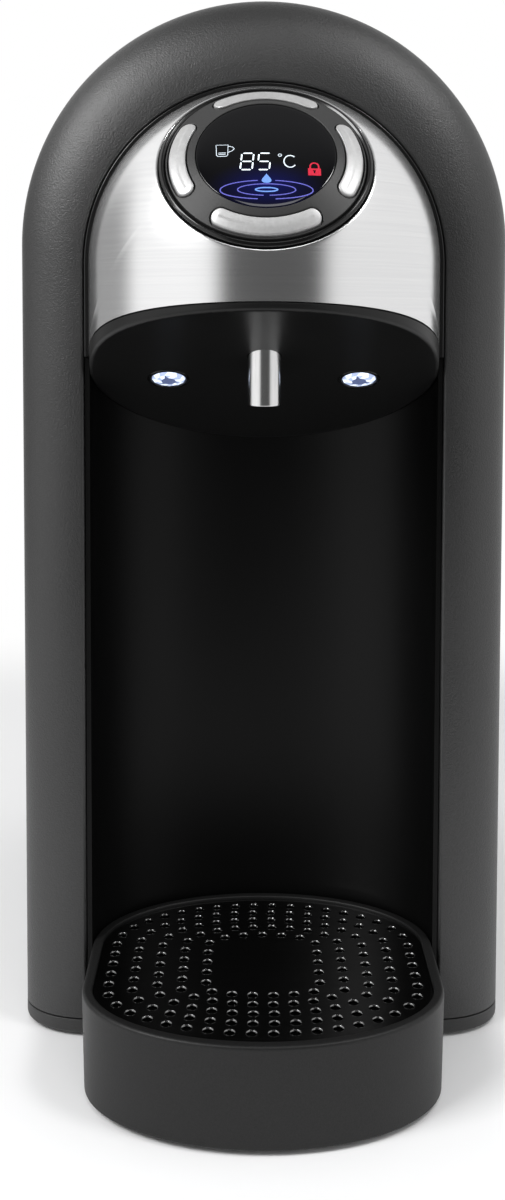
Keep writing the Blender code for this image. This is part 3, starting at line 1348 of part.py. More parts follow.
def hose(name, start, start_way, end, end_way, reach, surface, steps=HOSE_STEPS):
    """Flexible hose on one smooth curve between two port faces."""
    start_way = Vector(start_way)
    end_way = Vector(end_way)
    mouth = Vector(start) + start_way * CLEAR
    far_mouth = Vector(end) + end_way * CLEAR
    first = mouth + start_way * HOSE_RADIUS
    last = far_mouth + end_way * HOSE_RADIUS
    lead = first + start_way * reach
    tail = last + end_way * reach
    points = [mouth]
    for t in shares(steps):
        s = 1 - t
        points.append(first * s ** 3 + lead * 3 * s * s * t + tail * 3 * s * t * t + last * t ** 3)
    points.append(far_mouth)
    line = bpy.data.curves.new(name, "CURVE")
    line.dimensions = "3D"
    line.bevel_depth = HOSE_RADIUS
    line.bevel_resolution = 1
    line.use_fill_caps = True
    spline = line.splines.new("POLY")
    spline.points.add(len(points) - 1)
    for point, place in zip(spline.points, points):
        point.co = (*place, 1.0)
    line.materials.append(surface)
    piece = bpy.data.objects.new(name, line)
    bpy.context.scene.collection.objects.link(piece)
    piece.parent = MACHINE


def hoses(surface):
    """Dock to pump, pump to meter, meter to heater, heater to outlet chamber."""
    barb_tip = (OUTLET_X, INTERIOR_BACK - BARB_REACH, barb_z())
    pump_in = (PUMP_X, pump_head_back() + PORT_LENGTH, pump_z())
    pump_out = (PUMP_X, pump_head_back() - PUMP_HEAD_LENGTH / 2, pump_z() + PUMP_RADIUS + PORT_LENGTH)
    reach = METER_RADIUS + PORT_LENGTH
    meter_in = (METER_X, INTERIOR_MID + reach, meter_z())
    meter_out = (METER_X, INTERIOR_MID - reach, meter_z())
    heater_in = (-HEATER_X, INTERIOR_MID, heater_low() - PORT_LENGTH)
    heater_out = (-HEATER_X, INTERIOR_MID, heater_low() + HEATER_LENGTH + PORT_LENGTH)
    chamber_in = (0, -SPOUT_AHEAD + CHAMBER_RADIUS + PORT_LENGTH, chamber_bottom() + CHAMBER_HEIGHT / 2)
    back, front, up, down = (0, 1, 0), (0, -1, 0), (0, 0, 1), (0, 0, -1)
    reach = (barb_tip[1] - pump_in[1]) / 2
    hose("hose_dock_to_pump", barb_tip, front, pump_in, back, reach, surface, SHORT_HOSE_STEPS)
    reach = pump_out[2] - meter_in[2]
    hose("hose_pump_to_meter", pump_out, up, meter_in, back, reach, surface)
    reach = (heater_in[2] - meter_out[2]) * HOSE_LEAD_SHARE
    hose("hose_meter_to_heater", meter_out, front, heater_in, down, reach, surface)
    reach = (chamber_in[2] - heater_out[2]) / 2
    hose("hose_heater_to_outlet", heater_out, up, chamber_in, back, reach, surface)


# Electrics

def main_board(surface):
    """Power board on the rear panel's standoffs, with its relay, capacitor and heat sink."""
    back = INTERIOR_BACK - STANDOFF_LENGTH - CLEAR
    front = back - BOARD_WALL
    half = MAIN_BOARD_WIDTH / 2
    low = (MAIN_BOARD_X - half, front, MAIN_BOARD_LIFT)
    high = (MAIN_BOARD_X + half, back, MAIN_BOARD_LIFT + MAIN_BOARD_HEIGHT)
    board = add_object("main_board", block(low, high), surface)
    parts = []
    for x_share, z_share, width_share, height_share, depth_share in BOARD_PART_SHARES:
        x, z = board_place(x_share, z_share)
        far_x = x + MAIN_BOARD_WIDTH * width_share
        far_z = z + MAIN_BOARD_HEIGHT * height_share
        near = (x, front - MAIN_BOARD_WIDTH * depth_share, z)
        parts.append(block(near, (far_x, back - BOARD_WALL / 2, far_z)))
    x, z = board_place(*CAPACITOR_PLACE_SHARES)
    place = along((x, front, z), (0, -1, 0))
    join(board, *parts, rod(CAPACITOR_RADIUS, -BOARD_WALL / 2, CAPACITOR_LENGTH, frame=place))


def board_place(x_share, z_share):
    """A place on the main board, as shares of its width and height."""
    return MAIN_BOARD_X + MAIN_BOARD_WIDTH * x_share, MAIN_BOARD_LIFT + MAIN_BOARD_HEIGHT * z_share


def build():
    """Make every piece."""
    charcoal = finish("charcoal_plastic", (0.035, 0.036, 0.038), 0.45)
    gloss = finish("gloss_black_plastic", (0.006, 0.006, 0.007), 0.08)
    steel = finish("brushed_steel", (0.55, 0.55, 0.56), 0.30, 1.0)
    grey = finish("satin_grey_plastic", (0.075, 0.077, 0.080), 0.40)
    silver = finish("silver_plated_plastic", (0.70, 0.70, 0.71), 0.28, 0.8)
    lens = finish("dark_lens", (0.004, 0.004, 0.006), 0.05)
    clear = finish("clear_lens", (0.80, 0.84, 0.95), 0.05, 0.0, 0.5)
    cover = finish("dark_polished_steel", (0.10, 0.10, 0.11), 0.18, 1.0)
    smoke = finish("smoked_tank_plastic", (0.10, 0.11, 0.12), 0.08, 0.0, 0.45)
    rubber = finish("black_rubber", (0.015, 0.015, 0.015), 0.75)
    zinc = finish("zinc_screw", (0.60, 0.60, 0.58), 0.35, 1.0)
    white = finish("white_plastic", (0.75, 0.75, 0.72), 0.45)
    cast = finish("cast_aluminium", (0.62, 0.62, 0.63), 0.50, 1.0)
    board = finish("green_board", (0.02, 0.16, 0.07), 0.45)
    silicone = finish("silicone_hose", (0.62, 0.64, 0.64), 0.50)

    front_shell(charcoal)
    base_plate(charcoal)
    feet(rubber)
    screws(zinc)
    rear_panel(charcoal)
    bay_liner(gloss)
    head_trim(gloss)
    steel_fascia(steel)
    head_underside(gloss)
    spout(steel)
    lamps(clear, board)
    bezel_ring(gloss)
    control_ring(grey)
    buttons(silver)
    display(lens, board)
    drip_tray(charcoal)
    tray_cover(cover)
    tank(smoke)
    tank_lid(smoke)
    tank_dock(charcoal)
    inlet_gland(rubber)
    dock_seal(rubber)
    valve(white, rubber, steel)
    water_pump(white, rubber)
    flow_meter(white)
    flow_heater(cast, steel)
    heat_guards(white, steel)
    outlet_chamber(white)
    hoses(silicone)
    main_board(board)


clear_scene()
MACHINE = bpy.data.objects.new("machine_frame", None)
bpy.context.scene.collection.objects.link(MACHINE)
MACHINE.location = (0, TRAY_REACH - TOTAL_DEPTH / 2, 0)
build()
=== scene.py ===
import math

import bmesh
import bpy
from mathutils import Matrix, Vector


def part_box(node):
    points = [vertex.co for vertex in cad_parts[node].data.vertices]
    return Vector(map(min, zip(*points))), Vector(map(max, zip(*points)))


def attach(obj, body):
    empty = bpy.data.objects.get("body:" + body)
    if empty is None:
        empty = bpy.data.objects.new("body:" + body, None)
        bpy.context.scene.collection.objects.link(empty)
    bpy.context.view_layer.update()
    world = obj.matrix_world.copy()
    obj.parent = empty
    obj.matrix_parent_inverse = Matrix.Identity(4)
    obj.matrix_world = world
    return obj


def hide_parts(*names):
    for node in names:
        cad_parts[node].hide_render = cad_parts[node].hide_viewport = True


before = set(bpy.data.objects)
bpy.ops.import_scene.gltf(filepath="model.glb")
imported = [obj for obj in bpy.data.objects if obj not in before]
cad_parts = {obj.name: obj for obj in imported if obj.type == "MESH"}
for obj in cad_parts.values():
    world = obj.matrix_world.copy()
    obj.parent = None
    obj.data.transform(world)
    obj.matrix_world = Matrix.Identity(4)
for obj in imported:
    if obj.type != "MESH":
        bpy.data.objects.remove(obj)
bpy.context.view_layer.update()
print("frame loaded,", len(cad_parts), "nodes")

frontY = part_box("front_shell")[0].y      # front plane of the housing; pieces are modelled from it
mm = 0.001
gap = 0.3                                # room left between neighbouring pieces, mm
smoothAngle = math.radians(34)
leastAngle, mostRun = 0.05, 0.49         # limits of a rounded corner: radians, share of its side
spinWeld, meshWeld, treeWeld = 0.0005, 1e-7, 1e-6        # doubles nearer than this merge: mm, m, m
onMiddle = 0.05                          # points this near the middle plane aren't mirrored, mm
tools = []                               # cutters, removed once used

machine = {                              # millimetres, the sizes that several pieces share
    "halfWidth": 85.0, "archZ": 277.4, "depth": 158.0, "wholeDepth": 216.0, "openRadius": 61.5,
    "domeZ": 270.5, "domeRadius": 59.1, "rearCorner": 13.0, "baseLow": 1.2, "baseTop": 6.3,
    "trayHalf": 59.1, "trayReach": 65.6, "trayCurve": 36.2, "trayBack": 39.0, "trayTop": 34.6,
    "coverTop": 33.6, "coverWall": 1.2, "bayDepth": 40.5, "linerInner": 59.6,
    "panelRadius": 33.0, "ringRadius": 30.9, "ringSlope": 0.39, "panelTilt": 36.95,
    "bossRadius": 5.2, "screwRadius": 1.9,
    "undersideDrop": 15.7, "undersideFall": 0.2335, "undersideBow": 8.6, "rimHigh": 2.5, "rimRise": 4.0,
}


# building blocks

def shares(count):
    return [step / count for step in range(count + 1)]


def quarter(steps):
    # sine and cosine at even steps of a right angle
    return [(math.sin(math.pi / 2 * s), math.cos(math.pi / 2 * s)) for s in shares(steps)]


def rounded(corners, steps=4, closed=True):
    # (a, b, radius) corners turned into a line with round corners
    points = []
    count = len(corners)
    for i, (a, b, radius) in enumerate(corners):
        here = Vector((a, b))
        if radius == 0 or (not closed and i in (0, count - 1)):
            points.append((a, b))
            continue
        back = Vector(corners[i - 1][:2]) - here
        ahead = Vector(corners[(i + 1) % count][:2]) - here
        angle = max(back.angle(ahead), leastAngle)
        run = min(radius / math.tan(angle / 2), back.length * mostRun, ahead.length * mostRun)
        first = here + back.normalized() * run
        last = here + ahead.normalized() * run
        for s in shares(steps):
            place = first * (1 - s) ** 2 + here * 2 * s * (1 - s) + last * s * s
            points.append((place.x, place.y))
    return points


def skin(sections, wrap=False, caps=True):
    # matching closed sections joined into one body
    shape = bmesh.new()
    loops = [[shape.verts.new(point) for point in section] for section in sections]
    pairs = list(zip(loops, loops[1:]))
    if wrap:
        pairs.append((loops[-1], loops[0]))
    for first, second in pairs:
        for i in range(len(first)):
            j = (i + 1) % len(first)
            shape.faces.new((first[i], first[j], second[j], second[i]))
    if caps and not wrap:
        shape.faces.new(loops[0])
        shape.faces.new(loops[-1])
    return shape


def stacked(plan, levels, wrap=False):
    # plan(inset) drawn at each (inset, height) and joined
    return skin([[(x, y, z) for x, y in plan(inset)] for inset, z in levels], wrap)


def turned(profile, steps=64, place=None):
    # closed (radius, height) profile revolved about the place's own Z axis
    shape = bmesh.new()
    points = [shape.verts.new((radius, 0, height)) for radius, height in profile]
    edges = [shape.edges.new((points[i - 1], points[i])) for i in range(len(points))]
    bmesh.ops.spin(shape, geom=points + edges, cent=(0, 0, 0), axis=(0, 0, 1), dvec=(0, 0, 0),
                   angle=math.tau, steps=steps, use_merge=True)
    bmesh.ops.remove_doubles(shape, verts=shape.verts, dist=spinWeld)
    if place is not None:
        shape.transform(place)
    return shape


def cylinder(radius, low, high, steps, place):
    return turned([(0, low), (radius, low), (radius, high), (0, high)], steps, place)


def block(low, high):
    corners = [(low[0], low[1]), (high[0], low[1]), (high[0], high[1]), (low[0], high[1])]
    return skin([[(x, y, z) for x, y in corners] for z in (low[2], high[2])])


def at(x, y, z=0.0):
    return Matrix.Translation((x, y, z))


def along(origin, direction):
    turn = Vector((0, 0, 1)).rotation_difference(Vector(direction)).to_matrix().to_4x4()
    return Matrix.Translation(origin) @ turn


def linked(name, data):
    made = bpy.data.objects.new(name, data)
    bpy.context.scene.collection.objects.link(made)
    return made


def meshOf(name, shape):
    mesh = bpy.data.meshes.new(name)
    shape.to_mesh(mesh)
    shape.free()
    return mesh


def rawObject(name, shape, finish=None):
    # a bmesh in millimetres from the front plane becomes a mesh in metres in the frame
    shape.transform(at(0, frontY, 0) @ Matrix.Scale(mm, 4))
    bmesh.ops.remove_doubles(shape, verts=shape.verts, dist=meshWeld)
    bmesh.ops.recalc_face_normals(shape, faces=shape.faces)
    mesh = meshOf(name, shape)
    if finish is not None:
        mesh.materials.append(finish)
    return linked(name, mesh)


def pointsObject(name, points, edges=()):
    mesh = bpy.data.meshes.new(name)
    mesh.from_pydata(points, edges, [])
    return linked(name, mesh)


def ringEdges(count, first=0):
    return [(first + i, first + (i + 1) % count) for i in range(count)]


def combined(shapes):
    whole = bmesh.new()
    for shape in shapes:
        bmesh.ops.recalc_face_normals(shape, faces=shape.faces)
        scrap = meshOf("scrap", shape)
        whole.from_mesh(scrap)
        bpy.data.meshes.remove(scrap)
    return whole


def carve(piece, operation, *shapes):
    tool = rawObject(piece.name + "Tool%d" % len(tools), combined(shapes))
    tools.append(tool)
    step = piece.modifiers.new(operation.title(), "BOOLEAN")
    step.operation = operation
    step.solver = "EXACT"
    step.object = tool


def thicken(piece, wall):
    step = piece.modifiers.new("Wall", "SOLIDIFY")
    step.thickness = wall * mm
    step.offset = -1
    step.use_even_offset = True


def settle(piece):
    # what the modifiers make becomes a plain mesh
    bpy.context.view_layer.update()
    graph = bpy.context.evaluated_depsgraph_get()
    made = bpy.data.meshes.new_from_object(piece.evaluated_get(graph), depsgraph=graph)
    piece.modifiers.clear()
    made.name = piece.name
    piece.data = made


def remove(*helpers):
    for helper in helpers:
        bpy.data.objects.remove(helper, do_unlink=True)


def clearTools():
    remove(*tools)
    tools.clear()


def finishPiece(piece, body, nodes=(), angle=smoothAngle, flat=False):
    if piece.modifiers:
        settle(piece)
    clearTools()
    mesh = piece.data
    if flat:
        mesh.shade_flat()
    else:
        mesh.shade_smooth()
        mesh.set_sharp_from_angle(angle=angle)
        even = piece.modifiers.new("Normals", "WEIGHTED_NORMAL")
        even.keep_sharp = True
        settle(piece)
    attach(piece, body)
    if nodes:
        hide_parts(*nodes)
    return piece


# outlines that several pieces share

planSteps = {"tongue": 32, "shoulder": 12, "corner": 12, "tray": 40}      # points to a quarter turn


def bothSides(half):
    return half + [(-x, y) for x, y in reversed(half) if x > onMiddle]


def arch(radius, centreZ, lowZ, steps=96):
    # (x, z) points of a round arch on straight sides
    start = 0.0 if lowZ < centreZ else math.asin((lowZ - centreZ) / radius)
    points = []
    for share in shares(steps):
        turn = start + (math.pi - 2 * start) * share
        points.append((-radius * math.cos(turn), centreZ + radius * math.sin(turn)))
    if lowZ < centreZ:
        points = [(-radius, lowZ)] + points + [(radius, lowZ)]
    return points


def rearCorner(inset):
    corner = machine["rearCorner"] - inset
    x = machine["halfWidth"] - machine["rearCorner"]
    y = machine["wholeDepth"] - machine["rearCorner"]
    return [(x + corner * cos, y + corner * sin) for sin, cos in quarter(planSteps["corner"])]


def frontCurve(across, deep, steps):
    # the round front that the tray and the base's tongue share
    curveY = machine["trayCurve"] - machine["trayReach"]
    return [(across * sin, curveY - deep * cos) for sin, cos in quarter(steps)]


tongueForm = {"inset": 4.5, "shoulder": 17.0}


def bodyPlan(inset):
    # the base from above: a tongue under the tray, round shoulders and square sides
    inward = tongueForm["inset"] + inset
    tongueX = machine["trayHalf"] - inward
    half = frontCurve(tongueX, machine["trayCurve"] - inward, planSteps["tongue"])
    half.append((tongueX, inset))
    across = machine["halfWidth"] - machine["openRadius"] - inset
    for sin, cos in quarter(planSteps["shoulder"]):
        half.append((machine["openRadius"] + across * sin,
                     inset + (tongueForm["shoulder"] - inset) * (1 - cos)))
    return bothSides(half + rearCorner(inset) + [(0, machine["wholeDepth"] - inset)])


def trayPlan(inset):
    across = machine["trayHalf"] - inset
    back = machine["trayBack"] - inset
    half = frontCurve(across, machine["trayCurve"] - inset, planSteps["tray"])
    half += [(across * cos, back * sin) for sin, cos in quarter(planSteps["tray"])]
    return bothSides([(x if x > onMiddle else 0, y) for x, y in half])


def undersideZ(y):
    run = y + machine["domeRadius"]
    bow = machine["undersideBow"] * (run / machine["domeRadius"]) ** 2
    return machine["domeZ"] - machine["undersideDrop"] - machine["undersideFall"] * run - bow


def rimZ(y):
    share = min((y + machine["domeRadius"]) / machine["domeRadius"], 1.0)
    return undersideZ(y) + machine["rimHigh"] + machine["rimRise"] * share


def ringZ(radius):
    # height of the sloping control ring over the dome's centre, along the panel's axis
    rim = math.sqrt(machine["domeRadius"] ** 2 - machine["panelRadius"] ** 2)
    return rim + machine["ringSlope"] * (machine["panelRadius"] - radius)


panelTilt = math.radians(machine["panelTilt"])
panelPlace = at(0, 0, machine["domeZ"]) @ Matrix.Rotation(math.pi / 2 - panelTilt, 4, "X")
panelAxis = Vector((0, -math.cos(panelTilt), math.sin(panelTilt)))
panelUp = Vector((0, math.sin(panelTilt), math.cos(panelTilt)))


def lampPlace(x, y=1.6, reach=0.3):
    slope = (undersideZ(y + reach) - undersideZ(y - reach)) / (2 * reach)
    return along((x, y, undersideZ(y)), (0, slope, -1))


# nodes: the same helpers serve shaders and Geometry Nodes

def feed(tree, socket, value):
    if isinstance(value, bpy.types.NodeSocket):
        tree.links.new(value, socket)
    else:
        socket.default_value = value


def put(tree, kind, inputs=None, **settings):
    # a new node with its settings, then its inputs by name or number
    made = tree.nodes.new(kind)
    for key, value in settings.items():
        setattr(made, key, value)
    for key, value in (inputs or {}).items():
        feed(tree, made.inputs[key], value)
    return made


def maths(tree, operation, first, second=None, clamp=False):
    inputs = {0: first} if second is None else {0: first, 1: second}
    return put(tree, "ShaderNodeMath", inputs, operation=operation, use_clamp=clamp).outputs[0]


def vectorMaths(tree, operation, first, second):
    made = put(tree, "ShaderNodeVectorMath", {0: first, 1: second}, operation=operation)
    return made.outputs["Value" if operation in ("DOT_PRODUCT", "DISTANCE") else "Vector"]


def between(tree, low, high, factor):
    # low + (high - low) * factor
    spread = maths(tree, "SUBTRACT", high, low)
    return maths(tree, "ADD", low, maths(tree, "MULTIPLY", spread, factor))


def blend(tree, first, second, share):
    # both values in shares that add up to 1
    return maths(tree, "ADD", maths(tree, "MULTIPLY", first, share),
                 maths(tree, "MULTIPLY", second, round(1 - share, 3)))


def stretched(tree, value, gain):
    # more or less contrast round the middle of 0 to 1
    return maths(tree, "MULTIPLY", maths(tree, "SUBTRACT", value, 0.5), gain)


def mixColour(tree, factor, first, second):
    return put(tree, "ShaderNodeMix", {0: factor, 6: first, 7: second}, data_type="RGBA").outputs[2]


def noise(tree, vector, scale, detail=2.0, rough=0.5):
    return put(tree, "ShaderNodeTexNoise", {"Vector": vector, "Scale": scale, "Detail": detail,
                                            "Roughness": rough}).outputs["Fac"]


def ramp(tree, value, fromLow, fromHigh, low=0.0, high=1.0):
    made = put(tree, "ShaderNodeMapRange", {"From Min": fromLow, "From Max": fromHigh, "To Min": low,
                                            "To Max": high, "Value": value}, interpolation_type="SMOOTHSTEP")
    return made.outputs["Result"]


def objectSpace(tree):
    return put(tree, "ShaderNodeTexCoord").outputs["Object"]


# shader groups

socketKinds = {float: "NodeSocketFloat", 3: "NodeSocketVector", 4: "NodeSocketColor"}
patternOutputs = {"Color": "NodeSocketColor", "Roughness": "NodeSocketFloat", "Height": "NodeSocketFloat"}


def shaderGroup(name, inputs, pattern):
    # pattern(group, sockets) builds the inside and gives the outputs by name
    group = bpy.data.node_groups.new(name, "ShaderNodeTree")
    for label, value in inputs.items():
        kind = socketKinds[float if isinstance(value, float) else len(value)]
        group.interface.new_socket(label, in_out="INPUT", socket_type=kind).default_value = value
    outputs = pattern(group, put(group, "NodeGroupInput").outputs)
    for label in outputs:
        group.interface.new_socket(label, in_out="OUTPUT", socket_type=patternOutputs[label])
    put(group, "NodeGroupOutput", outputs)
    return group


def roughness(group, start, factor):
    return between(group, start["Low Roughness"], start["High Roughness"], factor)


grainForm = {"detail": 3.0, "rough": 0.6, "coarseScale": 0.55, "slowScale": 14.0, "fineGain": 1.6,
             "slowGain": 0.5, "slowShare": 0.7, "fineShare": 0.8}


def grainPattern(group, start):
    # moulded surface: fine spark texture, a slow change of tone, and worn soft spots
    form, space = grainForm, objectSpace(group)
    fine = noise(group, space, start["Grain Scale"], form["detail"], form["rough"])
    coarse = noise(group, space, maths(group, "MULTIPLY", start["Grain Scale"], form["coarseScale"]))
    slow = noise(group, space, form["slowScale"], form["detail"])
    tone = maths(group, "ADD", maths(group, "ADD", stretched(group, fine, form["fineGain"]), 0.5),
                 stretched(group, slow, form["slowGain"]), clamp=True)
    return {"Color": mixColour(group, tone, start["Dark"], start["Light"]),
            "Roughness": roughness(group, start, blend(group, slow, coarse, form["slowShare"])),
            "Height": blend(group, fine, coarse, form["fineShare"])}


brushForm = {"detail": 4.0, "rough": 0.65, "broadScale": 0.22, "lineShare": 0.6, "gain": 1.8,
             "cloudScale": 22.0, "cloudDetail": 3.0, "toneShare": 0.6}


def brushPattern(group, start):
    # long fine scratches: the stretch sets which way they run
    form, space = brushForm, objectSpace(group)
    drawn = vectorMaths(group, "MULTIPLY", space, start["Stretch"])
    lines = noise(group, drawn, 1.0, form["detail"], form["rough"])
    broad = noise(group, drawn, form["broadScale"])
    cloud = noise(group, space, form["cloudScale"], form["cloudDetail"])
    both = stretched(group, blend(group, lines, broad, form["lineShare"]), form["gain"])
    tone = maths(group, "ADD", both, 0.5, clamp=True)
    return {"Color": mixColour(group, tone, start["Dark"], start["Light"]),
            "Roughness": roughness(group, start, blend(group, tone, cloud, form["toneShare"])),
            "Height": tone}


glossForm = {"wipeStretch": (30, 30, 7), "wipeDetail": 4.0, "wipeRough": 0.6, "dustScale": 3200.0,
             "dustFrom": 0.74, "dustGain": 2.6, "waveScale": 160.0}


def glossPattern(group, start):
    # smooth glossy surface with faint wipe marks and dust
    form, space = glossForm, objectSpace(group)
    wiped = vectorMaths(group, "MULTIPLY", space, form["wipeStretch"])
    wipe = noise(group, wiped, 1.0, form["wipeDetail"], form["wipeRough"])
    fine = noise(group, space, form["dustScale"], 1.0)
    dust = maths(group, "MULTIPLY", maths(group, "SUBTRACT", fine, form["dustFrom"]), form["dustGain"],
                 clamp=True)
    return {"Color": mixColour(group, dust, start["Base"], start["Dust"]),
            "Roughness": roughness(group, start, wipe),
            "Height": noise(group, space, form["waveScale"])}


litForm = {"detail": 3.0, "rough": 0.6}


def litPattern(group, start):
    # a lit window: the light behind it wavers a little from spot to spot
    mottle = noise(group, objectSpace(group), start["Mottle Scale"], litForm["detail"], litForm["rough"])
    return {"Color": mixColour(group, mottle, start["Dim"], start["Bright"]),
            "Roughness": roughness(group, start, mottle),
            "Height": mottle}


hazeForm = {"falloff": 1.6}


def hazePattern(group, start):
    # an oval glow that fades out from its middle, laid in the plane of Across and Upward
    away = vectorMaths(group, "SUBTRACT", objectSpace(group), start["Middle"])
    squares = []
    for label in ("Across", "Upward"):
        reach = vectorMaths(group, "DOT_PRODUCT", away, start[label])
        squares.append(maths(group, "MULTIPLY", reach, reach))
    share = maths(group, "SUBTRACT", 1.0, maths(group, "SQRT", maths(group, "ADD", *squares)), clamp=True)
    soft = maths(group, "POWER", share, hazeForm["falloff"])
    return {"Color": mixColour(group, soft, (0, 0, 0, 1), start["Tint"])}


def grey(level, tint=(1, 1, 1)):
    return (level * tint[0], level * tint[1], level * tint[2], 1.0)


groups = {
    "grain": shaderGroup("mouldedGrain", {"Dark": grey(0.03), "Light": grey(0.06), "Grain Scale": 2400.0,
                                          "Low Roughness": 0.4, "High Roughness": 0.55}, grainPattern),
    "brush": shaderGroup("brushedLines", {"Dark": grey(0.4), "Light": grey(0.7), "Stretch": (40, 40, 2500),
                                          "Low Roughness": 0.2, "High Roughness": 0.4}, brushPattern),
    "gloss": shaderGroup("handledGloss", {"Base": grey(0.01), "Dust": grey(0.1), "Low Roughness": 0.05,
                                          "High Roughness": 0.16}, glossPattern),
    "lit": shaderGroup("litWindow", {"Dim": grey(0.4), "Bright": grey(0.8), "Mottle Scale": 1500.0,
                                     "Low Roughness": 0.22, "High Roughness": 0.38}, litPattern),
    "haze": shaderGroup("ovalHaze", {"Middle": (0, 0, 0), "Across": (1, 0, 0), "Upward": (0, 0, 1),
                                     "Tint": (0, 0, 1, 1)}, hazePattern),
}
print("shader groups built")


# materials

def shaderOf(finish):
    return finish.node_tree.nodes["Principled BSDF"]


def material(name, group, settings, bump=(0.0, 0.0), **plain):
    # a Principled material: pattern from one of the groups, constants straight on the shader
    made = bpy.data.materials.new(name)
    made.use_nodes = True
    tree = made.node_tree
    shader = shaderOf(made)
    for key, value in plain.items():
        shader.inputs[key.replace("_", " ")].default_value = value
    pattern = put(tree, "ShaderNodeGroup", settings, node_tree=groups[group], name="Pattern").outputs
    tree.links.new(pattern["Color"], shader.inputs["Base Color"])
    tree.links.new(pattern["Roughness"], shader.inputs["Roughness"])
    strength, distance = bump
    if strength:
        relief = put(tree, "ShaderNodeBump", {"Strength": strength, "Distance": distance,
                                              "Height": pattern["Height"]})
        tree.links.new(relief.outputs["Normal"], shader.inputs["Normal"])
    return made


def mouldedPlastic(name, dark, light, rough, scale=2400.0, bump=(0.25, 0.0001), **plain):
    return material(name, "grain", {"Dark": grey(*dark), "Light": grey(*light), "Grain Scale": scale,
                                    "Low Roughness": rough[0], "High Roughness": rough[1]}, bump, **plain)


def brushedMetal(name, dark, light, rough, stretch, bump=(0.12, 0.00005), metallic=1.0):
    return material(name, "brush", {"Dark": grey(*dark), "Light": grey(*light), "Stretch": stretch,
                                    "Low Roughness": rough[0], "High Roughness": rough[1]},
                    bump, Metallic=metallic)


def glossPlastic(name, base, dust, rough, bump=(0.02, 0.00005), **plain):
    return material(name, "gloss", {"Base": grey(*base), "Dust": grey(*dust), "Low Roughness": rough[0],
                                    "High Roughness": rough[1]}, bump, **plain)


glowForm = {"dim": 0.72, "bright": 1.28}          # shares of the colour between which the light wavers


def glow(name, colour, strength):
    dim, bright = ((*(level * glowForm[key] for level in colour), 1) for key in ("dim", "bright"))
    made = material(name, "lit", {"Dim": dim, "Bright": bright}, Emission_Strength=strength)
    made.node_tree.links.new(made.node_tree.nodes["Pattern"].outputs["Color"],
                             shaderOf(made).inputs["Emission Color"])
    return made


cool, warm, leaf, smoky = (1, 1, 1.02), (1, 1, 0.97), (0.2, 1, 0.4), (1, 1.02, 1.05)
finishes = {                             # (level, tint) of the dark and light, then the roughness range
    "shell": mouldedPlastic("charcoalShell", (0.009, cool), (0.026,), (0.36, 0.46), 1700.0, (0.7, 0.0003),
                            Specular_IOR_Level=0.65),
    "tray": mouldedPlastic("charcoalTray", (0.006, cool), (0.015,), (0.38, 0.50), 1900.0, (0.35, 0.0002),
                           Specular_IOR_Level=0.30),
    "base": mouldedPlastic("charcoalBase", (0.018,), (0.034,), (0.42, 0.55)),
    "liner": glossPlastic("darkBay", (0.0025,), (0.012,), (0.32, 0.46), Specular_IOR_Level=0.16),
    "trim": glossPlastic("glossTrim", (0.006,), (0.03,), (0.14, 0.26)),
    "underside": mouldedPlastic("satinUnderside", (0.004,), (0.009,), (0.30, 0.42), 3200.0,
                                (0.12, 0.00006), Specular_IOR_Level=0.3),
    "bezel": glossPlastic("glossBezel", (0.004,), (0.03,), (0.10, 0.20)),
    "ring": mouldedPlastic("satinRing", (0.022,), (0.036,), (0.38, 0.50), 3400.0, (0.15, 0.00006),
                           Specular_IOR_Level=0.35),
    "steel": brushedMetal("brushedSteel", (0.82, (1, 1, 1.01)), (0.94,), (0.16, 0.26), (24, 24, 5200)),
    "spout": brushedMetal("spoutSteel", (0.70,), (0.92,), (0.16, 0.24), (900, 900, 60)),
    "plated": brushedMetal("platedSilver", (0.40,), (0.56,), (0.34, 0.46), (700, 90, 700),
                           (0.06, 0.00004), metallic=0.45),
    "lens": glossPlastic("darkLens", (0.002, (1, 1, 1.3)), (0.012,), (0.03, 0.08)),
    "cover": brushedMetal("darkPolishedSteel", (0.20,), (0.32,), (0.12, 0.20), (60, 900, 60),
                          (0.05, 0.00004)),
    "rubber": mouldedPlastic("softRubber", (0.012,), (0.024,), (0.70, 0.85), 1500.0),
    "zinc": brushedMetal("zincScrew", (0.45,), (0.62, (1, 1, 0.96)), (0.30, 0.45), (700, 700, 700)),
    "white": mouldedPlastic("whitePlastic", (0.62, warm), (0.74, (1, 1, 0.98)), (0.40, 0.52)),
    "cast": brushedMetal("castAluminium", (0.40,), (0.62,), (0.42, 0.60), (800, 800, 800), (0.3, 0.0001)),
    "board": mouldedPlastic("greenBoard", (0.10, leaf), (0.17, leaf), (0.30, 0.45), 700.0),
    "silicone": mouldedPlastic("siliconeHose", (0.52,), (0.64,), (0.42, 0.55), 900.0),
    "bracket": brushedMetal("bentSteel", (0.45,), (0.62,), (0.32, 0.46), (500, 60, 60)),
    "smoke": mouldedPlastic("smokedTank", (0.20, smoky), (0.26, smoky), (0.06, 0.12), 500.0,
                            (0.03, 0.0001), Transmission_Weight=0.9, IOR=1.49),
}
glows = {
    "white": glow("whiteGlow", (0.78, 0.88, 0.93), 0.9),
    "pale": glow("paleGlow", (0.55, 0.62, 0.68), 0.8),
    "red": glow("redGlow", (0.40, 0.010, 0.030), 0.62),
    "blue": glow("blueGlow", (0.09, 0.09, 0.40), 0.62),
    "drop": glow("dropGlow", (0.11, 0.22, 0.55), 0.60),
    "lampBright": glow("lampBright", (0.78, 0.86, 1.0), 0.95),
    "lampPale": glow("lampPale", (0.42, 0.50, 0.72), 0.75),
    "lampDim": glow("lampDim", (0.10, 0.13, 0.26), 0.6),
}
print("materials built:", len(finishes) + len(glows))


# Geometry Nodes trees

